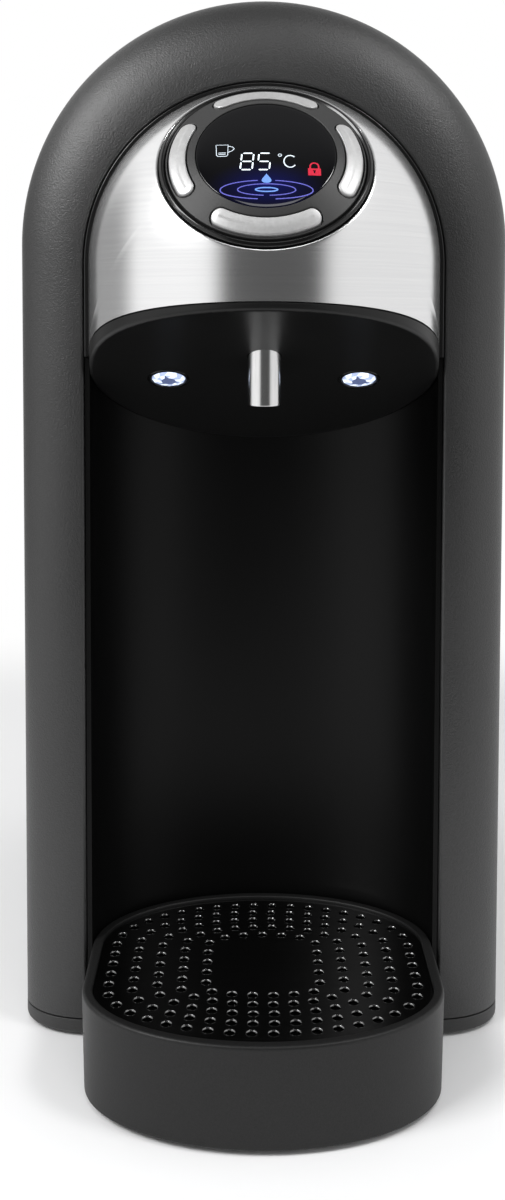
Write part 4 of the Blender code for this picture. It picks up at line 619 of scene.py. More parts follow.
def geometryTree(name, inputs):
    # an empty tree with named inputs, their identifiers and the sockets to build from
    tree = bpy.data.node_groups.new(name, "GeometryNodeTree")
    face = tree.interface
    face.new_socket("Geometry", in_out="INPUT", socket_type="NodeSocketGeometry")
    ids = {}
    for label, kind in inputs.items():
        ids[label] = face.new_socket(label, in_out="INPUT", socket_type="NodeSocket" + kind).identifier
    face.new_socket("Geometry", in_out="OUTPUT", socket_type="NodeSocketGeometry")
    return tree, ids, put(tree, "NodeGroupInput").outputs


def endTree(tree, start, geometry):
    real = put(tree, "GeometryNodeRealizeInstances", {"Geometry": geometry})
    paint = put(tree, "GeometryNodeSetMaterial", {"Geometry": real.outputs[0], "Material": start["Finish"]})
    put(tree, "NodeGroupOutput", {"Geometry": paint.outputs[0]})


def runTree(piece, made, **values):
    # an input's name is its label in camelCase
    tree, ids = made
    step = piece.modifiers.new(tree.name, "NODES")
    step.node_group = tree
    for label, socket in ids.items():
        words = label.split()
        step[socket] = values[words[0].lower() + "".join(words[1:])]
    settle(piece)


def meshOfObject(tree, thing):
    return put(tree, "GeometryNodeObjectInfo", {"Object": thing}).outputs["Geometry"]


def joined(tree, *parts):
    whole = put(tree, "GeometryNodeJoinGeometry")
    for part in parts:
        tree.links.new(part, whole.inputs["Geometry"])
    return whole.outputs[0]


def archSweepTree():
    # sweeps a section between two rails: section x is the share across, section y the depth
    tree, ids, start = geometryTree("archSweep", {"Inner Rail": "Object", "Outer Rail": "Object",
                                                  "Rail Points": "Int", "Finish": "Material"})
    section = put(tree, "GeometryNodeMeshToCurve", {"Mesh": start["Geometry"]})
    bar = put(tree, "GeometryNodeCurvePrimitiveLine", {"Start": (0, 0, 0), "End": (1, 0, 0)})
    spaced = put(tree, "GeometryNodeResampleCurve", {"Curve": bar.outputs[0],
                                                     "Count": start["Rail Points"]})
    body = put(tree, "GeometryNodeCurveToMesh", {"Curve": spaced.outputs[0], "Fill Caps": True,
                                                 "Profile Curve": section.outputs[0]})
    place = put(tree, "GeometryNodeInputPosition").outputs["Position"]
    parts = put(tree, "ShaderNodeSeparateXYZ", {"Vector": place}).outputs
    last = maths(tree, "SUBTRACT", start["Rail Points"], 1.0)
    step = maths(tree, "ROUND", maths(tree, "MULTIPLY", parts["X"], last))
    rails = []
    for label in ("Inner Rail", "Outer Rail"):
        sample = put(tree, "GeometryNodeSampleIndex",
                     {"Geometry": meshOfObject(tree, start[label]), "Value": place, "Index": step},
                     data_type="FLOAT_VECTOR")
        rails.append(sample.outputs["Value"])
    across = put(tree, "ShaderNodeMix", {0: parts["Y"], 4: rails[0], 5: rails[1]},
                 data_type="VECTOR", clamp_factor=False)
    deep = put(tree, "ShaderNodeCombineXYZ", {"Y": parts["Z"]})
    moved = put(tree, "GeometryNodeSetPosition",
                {"Geometry": body.outputs[0],
                 "Position": vectorMaths(tree, "ADD", across.outputs[1], deep.outputs[0])})
    welded = put(tree, "GeometryNodeMergeByDistance",
                 {"Geometry": moved.outputs[0], "Distance": treeWeld})
    endTree(tree, start, welded.outputs[0])
    return tree, ids


def perforatedTree():
    # holes at even steps along each track, cut from the sheet, with a rolled lip in each hole
    tree, ids, start = geometryTree("perforatedSheet", {
        "Tracks": "Object", "Lip": "Object", "Pitch": "Float", "Hole Radius": "Float",
        "Hole Sides": "Int", "Sheet": "Float", "Level": "Float", "Finish": "Material"})
    outline = put(tree, "GeometryNodeMeshToCurve", {"Mesh": start["Geometry"]})
    tracks = put(tree, "GeometryNodeMeshToCurve", {"Mesh": meshOfObject(tree, start["Tracks"])})
    spaced = put(tree, "GeometryNodeCurveToPoints", {"Curve": tracks.outputs[0], "Length": start["Pitch"]},
                 mode="LENGTH")
    ring = put(tree, "GeometryNodeCurvePrimitiveCircle", {"Resolution": start["Hole Sides"],
                                                          "Radius": start["Hole Radius"]})
    holes = put(tree, "GeometryNodeInstanceOnPoints", {"Points": spaced.outputs["Points"],
                                                       "Instance": ring.outputs[0]})
    realHoles = put(tree, "GeometryNodeRealizeInstances", {"Geometry": holes.outputs[0]})
    fill = put(tree, "GeometryNodeFillCurve", {"Curve": joined(tree, outline.outputs[0],
                                                               realHoles.outputs[0])})
    grown = put(tree, "GeometryNodeExtrudeMesh", {"Mesh": fill.outputs[0], "Individual": False,
                                                  "Offset Scale": start["Sheet"]})
    under = put(tree, "GeometryNodeFlipFaces", {"Mesh": fill.outputs[0]})
    sheet = put(tree, "GeometryNodeMergeByDistance",
                {"Geometry": joined(tree, grown.outputs[0], under.outputs[0]), "Distance": treeWeld})
    lips = put(tree, "GeometryNodeInstanceOnPoints", {"Points": spaced.outputs["Points"],
                                                      "Instance": meshOfObject(tree, start["Lip"])})
    level = put(tree, "ShaderNodeCombineXYZ", {"Z": start["Level"]})
    lifted = put(tree, "GeometryNodeTransform", {"Geometry": joined(tree, sheet.outputs[0], lips.outputs[0]),
                                                 "Translation": level.outputs[0]})
    endTree(tree, start, lifted.outputs[0])
    return tree, ids


def screwTree():
    # one screw at each point, turned by the point's own attribute
    tree, ids, start = geometryTree("screwsAtPoints", {"Screw": "Object", "Finish": "Material"})
    turn = put(tree, "GeometryNodeInputNamedAttribute", {"Name": "turn"}, data_type="FLOAT_VECTOR")
    screws = put(tree, "GeometryNodeInstanceOnPoints", {"Points": start["Geometry"],
                                                        "Instance": meshOfObject(tree, start["Screw"]),
                                                        "Rotation": turn.outputs["Attribute"]})
    endTree(tree, start, screws.outputs[0])
    return tree, ids


sweep = archSweepTree()


def archSweep(name, section, inner, outer, finish):
    # section: closed (share across, depth in mm) line; inner and outer: matching (x, z) rails in mm
    rails = []
    for label, points in (("Inner", inner), ("Outer", outer)):
        edges = [(i, i + 1) for i in range(len(points) - 1)]
        rails.append(pointsObject(name + label, [(x * mm, frontY, z * mm) for x, z in points], edges))
    # a bar along X turns its section's x to -Y and its y to -Z, so both go in negative
    piece = pointsObject(name, [(-share, -depth * mm, 0) for share, depth in section],
                         ringEdges(len(section)))
    runTree(piece, sweep, innerRail=rails[0], outerRail=rails[1], railPoints=len(inner), finish=finish)
    remove(*rails)
    shape = bmesh.new()
    shape.from_mesh(piece.data)
    bmesh.ops.recalc_face_normals(shape, faces=shape.faces)
    shape.to_mesh(piece.data)
    shape.free()
    return piece


# housing

shellForm = {"wall": 2.5, "frontRound": 17.0, "lipDepth": 7.0, "lipRound": 1.1, "bottom": 6.9,
             "bandSteps": 18, "lipSteps": 5, "insideSteps": 10, "postSides": 24, "holeSides": 16,
             "bossHigh": 18.0, "bossOverlap": 1.2, "holeFrom": 0.4, "holeDeep": 16.0,
             "bossRows": (45.0, 139.0), "topBossY": 155.0, "topBossAngle": 52, "topBossLong": 15.0,
             "topHole": (-13.0, 2.0), "sharp": 40}


def screwRadius():
    # distance of the screw posts from the middle: they grow out of the wall
    return machine["halfWidth"] - shellForm["wall"] - machine["bossRadius"] + shellForm["bossOverlap"]


def screwPlaces():
    return [(side * screwRadius(), y) for side in (-1, 1) for y in shellForm["bossRows"]]


def topScrewPlaces():
    turn = math.radians(shellForm["topBossAngle"])
    x, z = screwRadius() * math.cos(turn), machine["archZ"] + screwRadius() * math.sin(turn)
    return [along((side * x, shellForm["topBossY"], z), (0, 1, 0)) for side in (-1, 1)]


def buildFrontShell():
    form = shellForm
    across = machine["halfWidth"] - machine["openRadius"]
    wall, lip = form["wall"] / across, form["lipRound"]
    section = [(1.0, machine["depth"])]
    start = math.asin(lip / across)
    for s in reversed(shares(form["bandSteps"])):        # the round front band
        turn = start + (math.pi / 2 - start) * s
        section.append((math.sin(turn), form["frontRound"] * (1 - math.cos(turn))))
    section += [(lip / across * (1 - sin), lip * (1 - cos))
                for sin, cos in quarter(form["lipSteps"])[1:]]
    section += [(0.0, form["lipDepth"]), (wall, form["lipDepth"])]
    inside = form["frontRound"] - form["wall"]
    section += [(wall + (1 - 2 * wall) * sin, form["wall"] + inside * (1 - cos))
                for sin, cos in quarter(form["insideSteps"])]
    section.append((1 - wall, machine["depth"]))
    shell = archSweep("shellVisual", section, arch(machine["openRadius"], machine["domeZ"], form["bottom"]),
                      arch(machine["halfWidth"], machine["archZ"], form["bottom"]), finishes["shell"])
    posts, holes = [], []
    boss, hole = machine["bossRadius"], machine["screwRadius"]
    postSides, holeSides = form["postSides"], form["holeSides"]
    for x, y in screwPlaces():
        posts.append(cylinder(boss, 0, form["bossHigh"], postSides, at(x, y, form["bottom"])))
        holes.append(cylinder(hole, 0, form["holeDeep"], holeSides, at(x, y, form["holeFrom"])))
    for place in topScrewPlaces():
        posts.append(cylinder(boss, -form["topBossLong"], -gap, postSides, place))
        holes.append(cylinder(hole, *form["topHole"], holeSides, place))
    carve(shell, "UNION", *posts)
    carve(shell, "DIFFERENCE", *holes)
    return finishPiece(shell, "housing", ["front_shell"], math.radians(form["sharp"]))


baseForm = {"inside": 3.0, "lowRound": 1.4, "topRound": 0.35, "footSeat": 7.3, "footDeep": 1.0,
            "headSeat": 3.5, "headDeep": 2.1, "cutFrom": -1.0, "cutTo": 9.0, "sides": 40, "headSides": 24}
feetForm = {"places": ((36.0, -39.6), (66.0, 196.0)), "radius": 7.0, "pad": 6.6, "high": 1.9, "sides": 40}


def footPlaces():
    return [(side * x, y) for x, y in feetForm["places"] for side in (-1, 1)]


def buildBasePlate():
    form, low, top = baseForm, machine["baseLow"], machine["baseTop"]
    edge = rounded([(form["inside"], low, 0), (0, low, form["lowRound"]), (0, top, form["topRound"]),
                    (form["inside"], top, 0)], 5, closed=False)[1:-1]
    base = rawObject("baseVisual", stacked(bodyPlan, edge), finishes["base"])
    below, above = form["cutFrom"], form["cutTo"]
    cuts = [cylinder(form["footSeat"], below, low + form["footDeep"], form["sides"], at(x, y))
            for x, y in footPlaces()]
    seat, head, hole = low + form["headDeep"], form["headSeat"], machine["screwRadius"]
    profile = [(0, below), (head, below), (head, seat), (hole, seat), (hole, above), (0, above)]
    cuts += [turned(profile, form["headSides"], at(x, y)) for x, y in screwPlaces()]
    carve(base, "DIFFERENCE", *cuts)
    return finishPiece(base, "housing", ["base_plate"])


def buildFeet():
    form = feetForm
    profile = rounded([(0, 0, 0), (form["pad"], 0, 0.5), (form["radius"], form["high"], 0.2),
                       (0, form["high"], 0)], 3, closed=False)
    shapes = [turned(profile, form["sides"], at(x, y)) for x, y in footPlaces()]
    feet = rawObject("feetVisual", combined(shapes), finishes["rubber"])
    names = ["foot_front_left", "foot_front_right", "foot_rear_left", "foot_rear_right"]
    return finishPiece(feet, "housing", names)


linerForm = {"wall": 1.6, "steps": 96, "leastDepth": 1.0}


def buildLiner():
    form, wall = linerForm, linerForm["wall"]
    inner, depth = machine["linerInner"], machine["bayDepth"]
    outline = []
    for radius, reach, order in ((inner, depth, 1), (inner + wall, depth + wall, -1)):
        outline += [(radius * math.cos(math.pi * s), max(reach * math.sin(math.pi * s), form["leastDepth"]))
                    for s in shares(form["steps"])][::order]
    levels = [(0, machine["baseTop"] + gap), (0, rimZ(0))]
    liner = rawObject("linerVisual", stacked(lambda inset: outline, levels), finishes["liner"])
    return finishPiece(liner, "housing", ["bay_liner"])


print("building the housing")
buildFrontShell()
buildBasePlate()
buildFeet()
buildLiner()


# head

trimForm = {"proud": 0.6, "depth": 8.0, "shelf": 2.6, "shelfDepth": 2.8, "round": 0.5}


def buildTrim():
    form = trimForm
    outer = machine["openRadius"] - gap
    inner = machine["domeRadius"] - form["shelf"]
    band = machine["domeRadius"] + gap                   # the trim's face starts where the steel ends
    corners = [(outer, -form["proud"], form["round"]), (outer, form["depth"], 0), (band, form["depth"], 0),
               (band, form["shelfDepth"], 0), (inner, form["shelfDepth"], 0), (inner, gap, 0),
               (band, gap, 0), (band, -form["proud"], form["round"])]
    section = [((a - inner) / (outer - inner), b) for a, b in rounded(corners, 4)]
    low = rimZ(0) + gap
    trim = archSweep("trimVisual", section, arch(inner, machine["domeZ"], low),
                     arch(outer, machine["domeZ"], low), finishes["trim"])
    return finishPiece(trim, "housing", ["head_trim"])


steelForm = {"wall": 0.8, "holeRadius": 33.3, "roll": 1.1, "rollDepth": 0.9, "rollEdge": 0.1,
             "around": 144, "outward": 30, "rollSteps": 6, "search": (0.3, 2.2), "halvings": 40,
             "sharp": 45}


def panelWay(phi):
    return Vector((1, 0, 0)) * math.cos(phi) + panelUp * math.sin(phi)


def steelPoint(theta, phi):
    # a point at an angle theta from the panel's axis; below the dome the sphere goes on as a cylinder
    radius = machine["domeRadius"]
    point = radius * (panelAxis * math.cos(theta) + panelWay(phi) * math.sin(theta))
    if point.z < 0:
        around = math.atan2(point.x, -point.y)
        drop = radius * math.asin(point.z / radius)
        point = Vector((radius * math.sin(around), -radius * math.cos(around), drop))
    return point


def steelReach(phi):
    # how far the steel goes from the panel's axis before it meets the front plane or its lower rim
    low, high = steelForm["search"]
    for _ in range(steelForm["halvings"]):
        middle = (low + high) / 2
        point = steelPoint(middle, phi)
        inside = point.y < 0 and point.z > rimZ(point.y) + gap - machine["domeZ"]
        low, high = (middle, high) if inside else (low, middle)
    return low


def buildSteel():
    form, radius = steelForm, machine["domeRadius"]
    level = (rimZ(0) + gap - machine["domeZ"]) / radius
    corner = Vector((math.cos(level), 0, math.sin(level)))
    turns = [math.tau * s for s in shares(form["around"])[:-1]]
    for side in (-1, 1):                                 # the two lower corners get a line of their own
        turns.append(math.atan2(corner.dot(panelUp), side * corner.x) % math.tau)
    turns.sort()
    hole = form["holeRadius"]
    holeTheta = math.asin((hole + form["roll"]) / radius)
    edge = math.sqrt(radius ** 2 - hole ** 2)
    lift = Vector((0, 0, machine["domeZ"]))
    corners = ((hole, edge - form["rollDepth"]), (hole, edge - form["rollEdge"]),
               (hole + form["roll"], radius * math.cos(holeTheta)))
    rings = []
    for s in shares(form["rollSteps"])[:-1]:             # the edge rolled in round the panel
        across, deep = (a * (1 - s) ** 2 + b * 2 * s * (1 - s) + c * s * s for a, b, c in zip(*corners))
        rings.append([panelWay(phi) * across + panelAxis * deep + lift for phi in turns])
    for s in shares(form["outward"]):
        rings.append([steelPoint(holeTheta + (steelReach(phi) - holeTheta) * s, phi) + lift
                      for phi in turns])
    piece = rawObject("steelVisual", skin(rings, caps=False), finishes["steel"])
    shape = bmesh.new()
    shape.from_mesh(piece.data)
    shape.faces.ensure_lookup_table()
    middle = Vector((0, frontY, machine["domeZ"] * mm))
    face = shape.faces[len(shape.faces) // 2]
    if face.normal.dot(face.calc_center_median() - middle) < 0:
        bmesh.ops.reverse_faces(shape, faces=shape.faces)
    shape.to_mesh(piece.data)
    shape.free()
    thicken(piece, form["wall"])
    return finishPiece(piece, "housing", ["steel_fascia"], math.radians(form["sharp"]))


undersideForm = {"wall": 2.5, "rimWall": 2.2, "edge": 1.3, "rimBevel": 0.3, "around": 144, "outward": 26,
                 "edgeSteps": 5, "inside": 0.3, "spoutHole": (5.9, -60.0, 10.0), "lampHole": (6.0, -7.5, 3.0),
                 "holeSides": 48}                # a hole's radius, and where it starts and ends


def undersidePlan(turn, inset):
    # half a circle in front and half an oval behind
    ahead = math.sin(turn) < 0
    across = (machine["domeRadius"] if ahead else machine["linerInner"] - gap) - inset
    reach = (machine["domeRadius"] if ahead else machine["bayDepth"] - gap) - inset
    return across * math.cos(turn), reach * math.sin(turn)


def buildUnderside():
    form = undersideForm
    turns = [math.tau * (s + 0.5 / form["around"]) for s in shares(form["around"])[:-1]]
    edge, rim, wall = form["edge"], form["rimWall"], form["wall"]
    face = [undersidePlan(turn, edge) for turn in turns]
    rings = [[(x * s, y * s, undersideZ(y * s)) for x, y in face] for s in shares(form["outward"])[1:]]
    for sin, cos in quarter(form["edgeSteps"])[1:]:
        plan = [undersidePlan(turn, edge * (1 - sin)) for turn in turns]
        rings.append([(x, y, undersideZ(y) + edge * (1 - cos)) for x, y in plan])
    for inset, height in ((0, lambda y: rimZ(y) - gap), (form["rimBevel"], rimZ), (rim, rimZ),
                          (rim, lambda y: undersideZ(y) + wall)):
        rings.append([(*undersidePlan(turn, inset), height(undersidePlan(turn, 0)[1])) for turn in turns])
    share = form["inside"]
    rings.append([(x * share, y * share, undersideZ(y * share) + wall)
                  for x, y in (undersidePlan(turn, rim) for turn in turns)])
    cover = rawObject("undersideVisual", skin(rings), finishes["underside"])
    sides = form["holeSides"]
    holes = [cylinder(*form["spoutHole"], sides, at(0, -spoutForm["ahead"], machine["domeZ"]))]
    for side in (-1, 1):
        holes.append(cylinder(*form["lampHole"], sides, lampPlace(side * lampForm["x"])))
    carve(cover, "DIFFERENCE", *holes)
    return finishPiece(cover, "housing", ["head_underside"])


spoutForm = {"radius": 5.6, "bore": 4.0, "low": 223.6, "edge": 0.5, "ahead": 14.9, "flange": 1.8,
             "flangeHigh": 2.0, "seatRise": 2.8, "collar": 3.2, "sides": 72}


def buildSpout():
    form = spoutForm
    bore, radius, wide = form["bore"], form["radius"], form["radius"] + form["flange"]
    seat = undersideZ(-form["ahead"] - wide) + form["seatRise"]
    top = seat + form["flangeHigh"]
    corners = [(bore, form["low"], 0.4), (radius, form["low"], form["edge"]), (radius, seat, 0),
               (wide, seat, 0.3), (wide, top, 0.3), (radius, top, 0), (radius, top + form["collar"], 0),
               (bore, top + form["collar"], 0)]
    shape = turned(rounded(corners, 4), form["sides"], at(0, -form["ahead"]))
    spout = rawObject("spoutVisual", shape, finishes["spout"])
    return finishPiece(spout, "housing", ["spout"])


lampForm = {"x": 32.6, "radius": 5.7, "table": 2.5, "proud": 0.9, "facets": 12, "flange": 6.9, "deep": 5.5,
            "barrel": 3.1, "girdle": (4.2, 0.66), "edge": 0.05, "beadIn": 6.02, "beadOut": 7.3,
            "beadLow": -1.0, "beadHigh": 0.35, "beadSides": 48}


def gemShape(place):
    # cut lens: a table and two rows of facets over a stepped barrel; a facet's slot gives its brightness
    form, count = lampForm, lampForm["facets"]
    shape = bmesh.new()

    def circle(radius, height, offset=0.0):
        turns = [math.tau * (i + offset) / count for i in range(count)]
        return [shape.verts.new((radius * math.cos(t), radius * math.sin(t), height)) for t in turns]

    inner = circle(form["table"], form["proud"])
    middle = circle(*form["girdle"], 0.5)
    outer = circle(form["radius"], form["edge"])
    shape.faces.new(inner).material_index = 2
    for i in range(count):
        j = (i + 1) % count
        shape.faces.new((inner[i], inner[j], middle[i])).material_index = (0, 1, 0, 2)[i % 4]
        shape.faces.new((middle[i], inner[j], middle[j])).material_index = (1, 0)[i % 2]
        shape.faces.new((outer[i], middle[i], outer[j])).material_index = (0, 1)[i % 2]
        shape.faces.new((middle[i], middle[j], outer[j])).material_index = (1, 0, 0)[i % 3]
    lower = [circle(form["radius"], -form["barrel"]), circle(form["flange"], -form["barrel"]),
             circle(form["flange"], -form["deep"])]
    for first, second in zip([outer, *lower], lower):
        for i in range(count):
            j = (i + 1) % count
            shape.faces.new((first[i], first[j], second[j], second[i])).material_index = 1
    shape.faces.new(lower[-1]).material_index = 1
    shape.transform(place)
    return shape


def buildLamps():
    form = lampForm
    bead = rounded([(form["beadIn"], form["beadLow"], 0), (form["beadIn"], form["beadHigh"], 0.2),
                    (form["beadOut"], form["beadHigh"], 0.3), (form["beadOut"], form["beadLow"], 0)], 4)
    for side, label in ((-1, "left"), (1, "right")):
        place = lampPlace(side * form["x"])
        lens = rawObject("lampLens_" + label, gemShape(place), glows["lampBright"])
        lens.data.materials.append(glows["lampPale"])
        lens.data.materials.append(glows["lampDim"])
        finishPiece(lens, "housing", ["lamp_lens_" + label], flat=True)
        ring = rawObject("lampBead_" + label, turned(bead, form["beadSides"], place), finishes["bezel"])
        finishPiece(ring, "housing")


print("building the head")
buildTrim()
buildSteel()
buildUnderside()
buildSpout()
buildLamps()


# control panel

panelForm = {"bezelWidth": 1.8, "bezelProud": 0.9, "crest": 0.9, "innerRise": 0.25, "outerRise": 0.2,
             "bezelFlange": 2.2, "bezelFoot": 1.2, "bezelLedge": 1.8, "wallDrop": 0.9, "edgeDrop": 0.6,
             "displayRadius": 21.4, "lensWall": 2.0, "lensCrown": 0.9, "lensRecess": 0.3, "lensEdge": 0.06,
             "lensRound": 0.995, "lensSteps": 24, "lensSides": 128, "ringWall": 2.0, "skirtWall": 1.0,
             "skirtDrop": 6.1, "shelfDrop": 2.2, "sides": 144}
buttonForm = {"inner": 24.7, "outer": 29.9, "proud": 0.5, "edge": 0.55, "crown": 0.12, "drop": 3.1,
              "slotGap": 0.50, "slotBevel": 0.68, "bevelDepth": 0.15, "slotSpan": (-5.0, 3.0),
              "edgeSteps": 6, "crownSteps": 4, "crownShare": 0.97, "longSteps": 28, "capSteps": 12,
              "places": {"dispense": (90, 36), "lock": (-90, 36), "temperature": (180, 32),
                         "volume": (0, 32)}}


def buildBezel():
    form, radius = panelForm, machine["panelRadius"]
    inner, wide = radius - form["bezelWidth"], radius + form["bezelFlange"]
    rim = ringZ(radius)
    hollow = machine["domeRadius"] - steelForm["wall"]   # the steel's inner face, which the flange follows
    atWall = math.sqrt(hollow ** 2 - (radius + gap) ** 2) - form["wallDrop"]
    atEdge = math.sqrt(hollow ** 2 - wide ** 2) - form["edgeDrop"]
    shelf = ringZ(machine["ringRadius"]) - form["skirtDrop"] - form["shelfDrop"]
    foot, ledge = form["bezelFoot"], inner - form["bezelLedge"]
    corners = [(inner, shelf, 0), (inner, rim + form["innerRise"], 0.3),
               (radius - form["crest"], rim + form["bezelProud"], 0.5),
               (radius, rim + form["outerRise"], 0.4),
               (radius, atWall, 0), (wide, atEdge, 0), (wide, atEdge - foot, 0),
               (radius, shelf - foot, 0), (ledge, shelf - foot, 0), (ledge, shelf, 0)]
    shape = turned(rounded(corners, 4), form["sides"], panelPlace)
    bezel = rawObject("bezelVisual", shape, finishes["bezel"])
    return finishPiece(bezel, "housing", ["bezel_ring"])


def capsule(degrees, halfSweep, inset):
    # round-ended bar bent along the ring: (x, y) points on the panel
    form = buttonForm
    middle, half = (form["inner"] + form["outer"]) / 2, (form["outer"] - form["inner"]) / 2
    turn, reach = math.radians(degrees), math.radians(halfSweep) - half / middle
    width = half - inset
    points = []
    for side, radius in ((1, middle + width), (-1, middle - width)):
        for s in shares(form["longSteps"]):
            t = turn - side * reach + 2 * side * reach * s
            points.append((radius * math.cos(t), radius * math.sin(t)))
        t = turn + side * reach
        x, y = middle * math.cos(t), middle * math.sin(t)
        for s in shares(form["capSteps"])[1:-1]:
            way = t + math.pi * s + (0 if side > 0 else math.pi)
            points.append((x + width * math.cos(way), y + width * math.sin(way)))
    return points


def onRing(points, rise):
    # panel points lifted to the sloping ring
    return [(x, y, ringZ(math.hypot(x, y)) + rise) for x, y in points]


def buildControlRing():
    form = panelForm
    outer, inner = machine["ringRadius"], form["displayRadius"] + gap
    wall, side = form["ringWall"], form["skirtWall"]
    skirt = ringZ(outer) - form["skirtDrop"]
    seat = ringZ(inner) - form["lensRecess"] - form["lensWall"] - gap
    corners = [(inner, seat, 0), (inner, ringZ(inner), 0.25), (outer, ringZ(outer), 0.3),
               (outer, skirt, 0), (outer - side, skirt, 0), (outer - side, ringZ(outer - side) - wall, 0),
               (inner + side, ringZ(inner + side) - wall, 0), (inner + side, seat, 0)]
    ring = rawObject("ringVisual", turned(rounded(corners, 3), form["sides"], panelPlace), finishes["ring"])
    slot, bevel = -buttonForm["slotGap"], -buttonForm["slotBevel"]
    low, high = buttonForm["slotSpan"]
    levels = [(slot, low), (slot, -buttonForm["bevelDepth"]), (bevel, 0.0), (bevel, high)]
    slots = []
    for degrees, sweepAngle in buttonForm["places"].values():
        shape = skin([onRing(capsule(degrees, sweepAngle, inset), deep) for inset, deep in levels])
        shape.transform(panelPlace)
        slots.append(shape)
    carve(ring, "DIFFERENCE", *slots)
    return finishPiece(ring, "housing", ["control_ring"])


def buildButtons():
    form, edge, proud = buttonForm, buttonForm["edge"], buttonForm["proud"]
    half = (form["outer"] - form["inner"]) / 2
    low = ringZ(form["outer"]) - form["drop"]
    for name, (degrees, sweepAngle) in form["places"].items():
        sections = [[(x, y, low) for x, y in capsule(degrees, sweepAngle, 0)]]
        for sin, cos in quarter(form["edgeSteps"]):      # rounded edge
            outline = capsule(degrees, sweepAngle, edge * (1 - cos))
            sections.append(onRing(outline, proud - edge * (1 - sin)))
        for s in shares(form["crownSteps"])[1:]:         # slightly crowned top
            outline = capsule(degrees, sweepAngle, edge + (half * form["crownShare"] - edge) * s)
            sections.append(onRing(outline, proud + form["crown"] * math.sin(math.pi / 2 * s)))
        shape = skin(sections)
        shape.transform(panelPlace)
        button = rawObject(name + "KeyVisual", shape, finishes["plated"])
        finishPiece(button, name + "_key", [name + "_button"])


def lensTop(radius):
    top = ringZ(panelForm["displayRadius"] + gap) - panelForm["lensRecess"]
    share = min(radius / panelForm["displayRadius"], 1.0)
    return top + panelForm["lensCrown"] * math.sqrt(1 - share * share * panelForm["lensRound"])


def buildLens():
    form, radius = panelForm, panelForm["displayRadius"]
    low = lensTop(radius) - form["lensEdge"] - form["lensWall"]
    profile = [(0, low), (radius, low)]
    profile += [(radius * sin, lensTop(radius * sin)) for sin, cos in reversed(quarter(form["lensSteps"]))]
    lens = rawObject("lensVisual", turned(profile, form["lensSides"], panelPlace), finishes["lens"])
    return finishPiece(lens, "housing", ["display_lens"])


inlayForm = {"low": -0.05, "high": 0.04, "sharp": 20}     # from just under the lens's surface to just over
displayForm = {
    "digits": "85", "digitPlaces": (-5.8, -0.6), "digitMiddle": -3.7, "digitHeight": 6.7,
    "digitWidth": 3.6, "stroke": 0.42, "gap": 0.36, "slant": 0.08,
    "degree": (4.2, -1.1), "degreeRadius": 0.5, "letter": (7.3, -3.6), "letterSize": (1.9, 2.4),
    "letterSweep": (48, 322), "letterStroke": 0.34,
    "cup": [(-15.3, 3.2), (-15.1, -1.0), (-14.7, -1.5), (-12.1, -1.5), (-11.7, -1.0), (-11.6, 3.2)],
    "handle": [(-11.6, 2.7), (-10.2, 2.3), (-9.7, 1.6), (-10.4, 0.7), (-11.6, 0.1)],
    "fill": ([(-14.5, -0.1), (-12.3, -0.1)], [(-14.5, -0.7), (-12.3, -0.7)]), "thin": 0.20,
    "ripple": (0.1, -14.9), "rippleSizes": ((13.9, 3.6, 0.32), (8.7, 2.2, 0.30), (3.3, 0.75, 0.46)),
    "outerSweeps": ((-79, 79), (101, 259)), "middleSweep": (-84, 264),
    "drop": (0.1, -10.4), "dropSize": (2.9, 3.8), "dropNeck": 0.77, "lock": (14.6, -7.4),
    "hazeRise": 1.5, "hazeReach": (0.019, 0.0105), "hazeColour": (0.002, 0.004, 0.10, 1),
    "steps": {"degree": 16, "letter": 26, "outer": 40, "middle": 60, "heart": 40},
}
segmentsOf = {"8": "abcdefg", "5": "acdfg"}


def inlay(name, outlines, glowName):
    # flat shapes laid on the lens, each a simple (x, y) loop
    shapes = []
    for outline in outlines:
        shape = skin([[(x, y, lensTop(math.hypot(x, y)) + deep) for x, y in outline]
                      for deep in (inlayForm["low"], inlayForm["high"])])
        bmesh.ops.triangulate(shape, faces=[face for face in shape.faces if len(face.verts) > 4])
        shape.transform(panelPlace)
        shapes.append(shape)
    piece = rawObject(name, combined(shapes), glows[glowName])
    return finishPiece(piece, "housing", angle=math.radians(inlayForm["sharp"]))


def stroke(points, width, closed=False):
    # quads along a line, for an outline of even width
    count = len(points)
    sides = []
    for i, point in enumerate(points):
        back = points[i - 1] if closed or i else point
        ahead = points[(i + 1) % count] if closed or i < count - 1 else point
        way = (Vector(ahead) - Vector(back)).normalized()
        across = Vector((-way.y, way.x)) * width / 2
        sides.append((Vector(point) + across, Vector(point) - across))
    pairs = list(zip(sides, sides[1:])) + ([(sides[-1], sides[0])] if closed else [])
    return [[tuple(a[0]), tuple(a[1]), tuple(b[1]), tuple(b[0])] for a, b in pairs]


def digitSegments(character, centreX, centreY):
    form = displayForm
    w, h, t = form["digitWidth"] / 2, form["digitHeight"] / 2, form["stroke"] / 2
    bars = {"a": (0, h, 0), "d": (0, -h, 0), "g": (0, 0, 0), "b": (w, h / 2, 1), "c": (w, -h / 2, 1),
            "e": (-w, -h / 2, 1), "f": (-w, h / 2, 1)}
    loops = []
    for key in segmentsOf[character]:
        x, y, upright = bars[key]
        reach = (h / 2 if upright else w) - form["gap"]
        shape = [(-reach, 0), (-reach + t, t), (reach - t, t), (reach, 0), (reach - t, -t), (-reach + t, -t)]
        if upright:
            shape = [(b, a) for a, b in shape]
        loops.append([(centreX + x + a + (y + b) * form["slant"], centreY + y + b) for a, b in shape])
    return loops


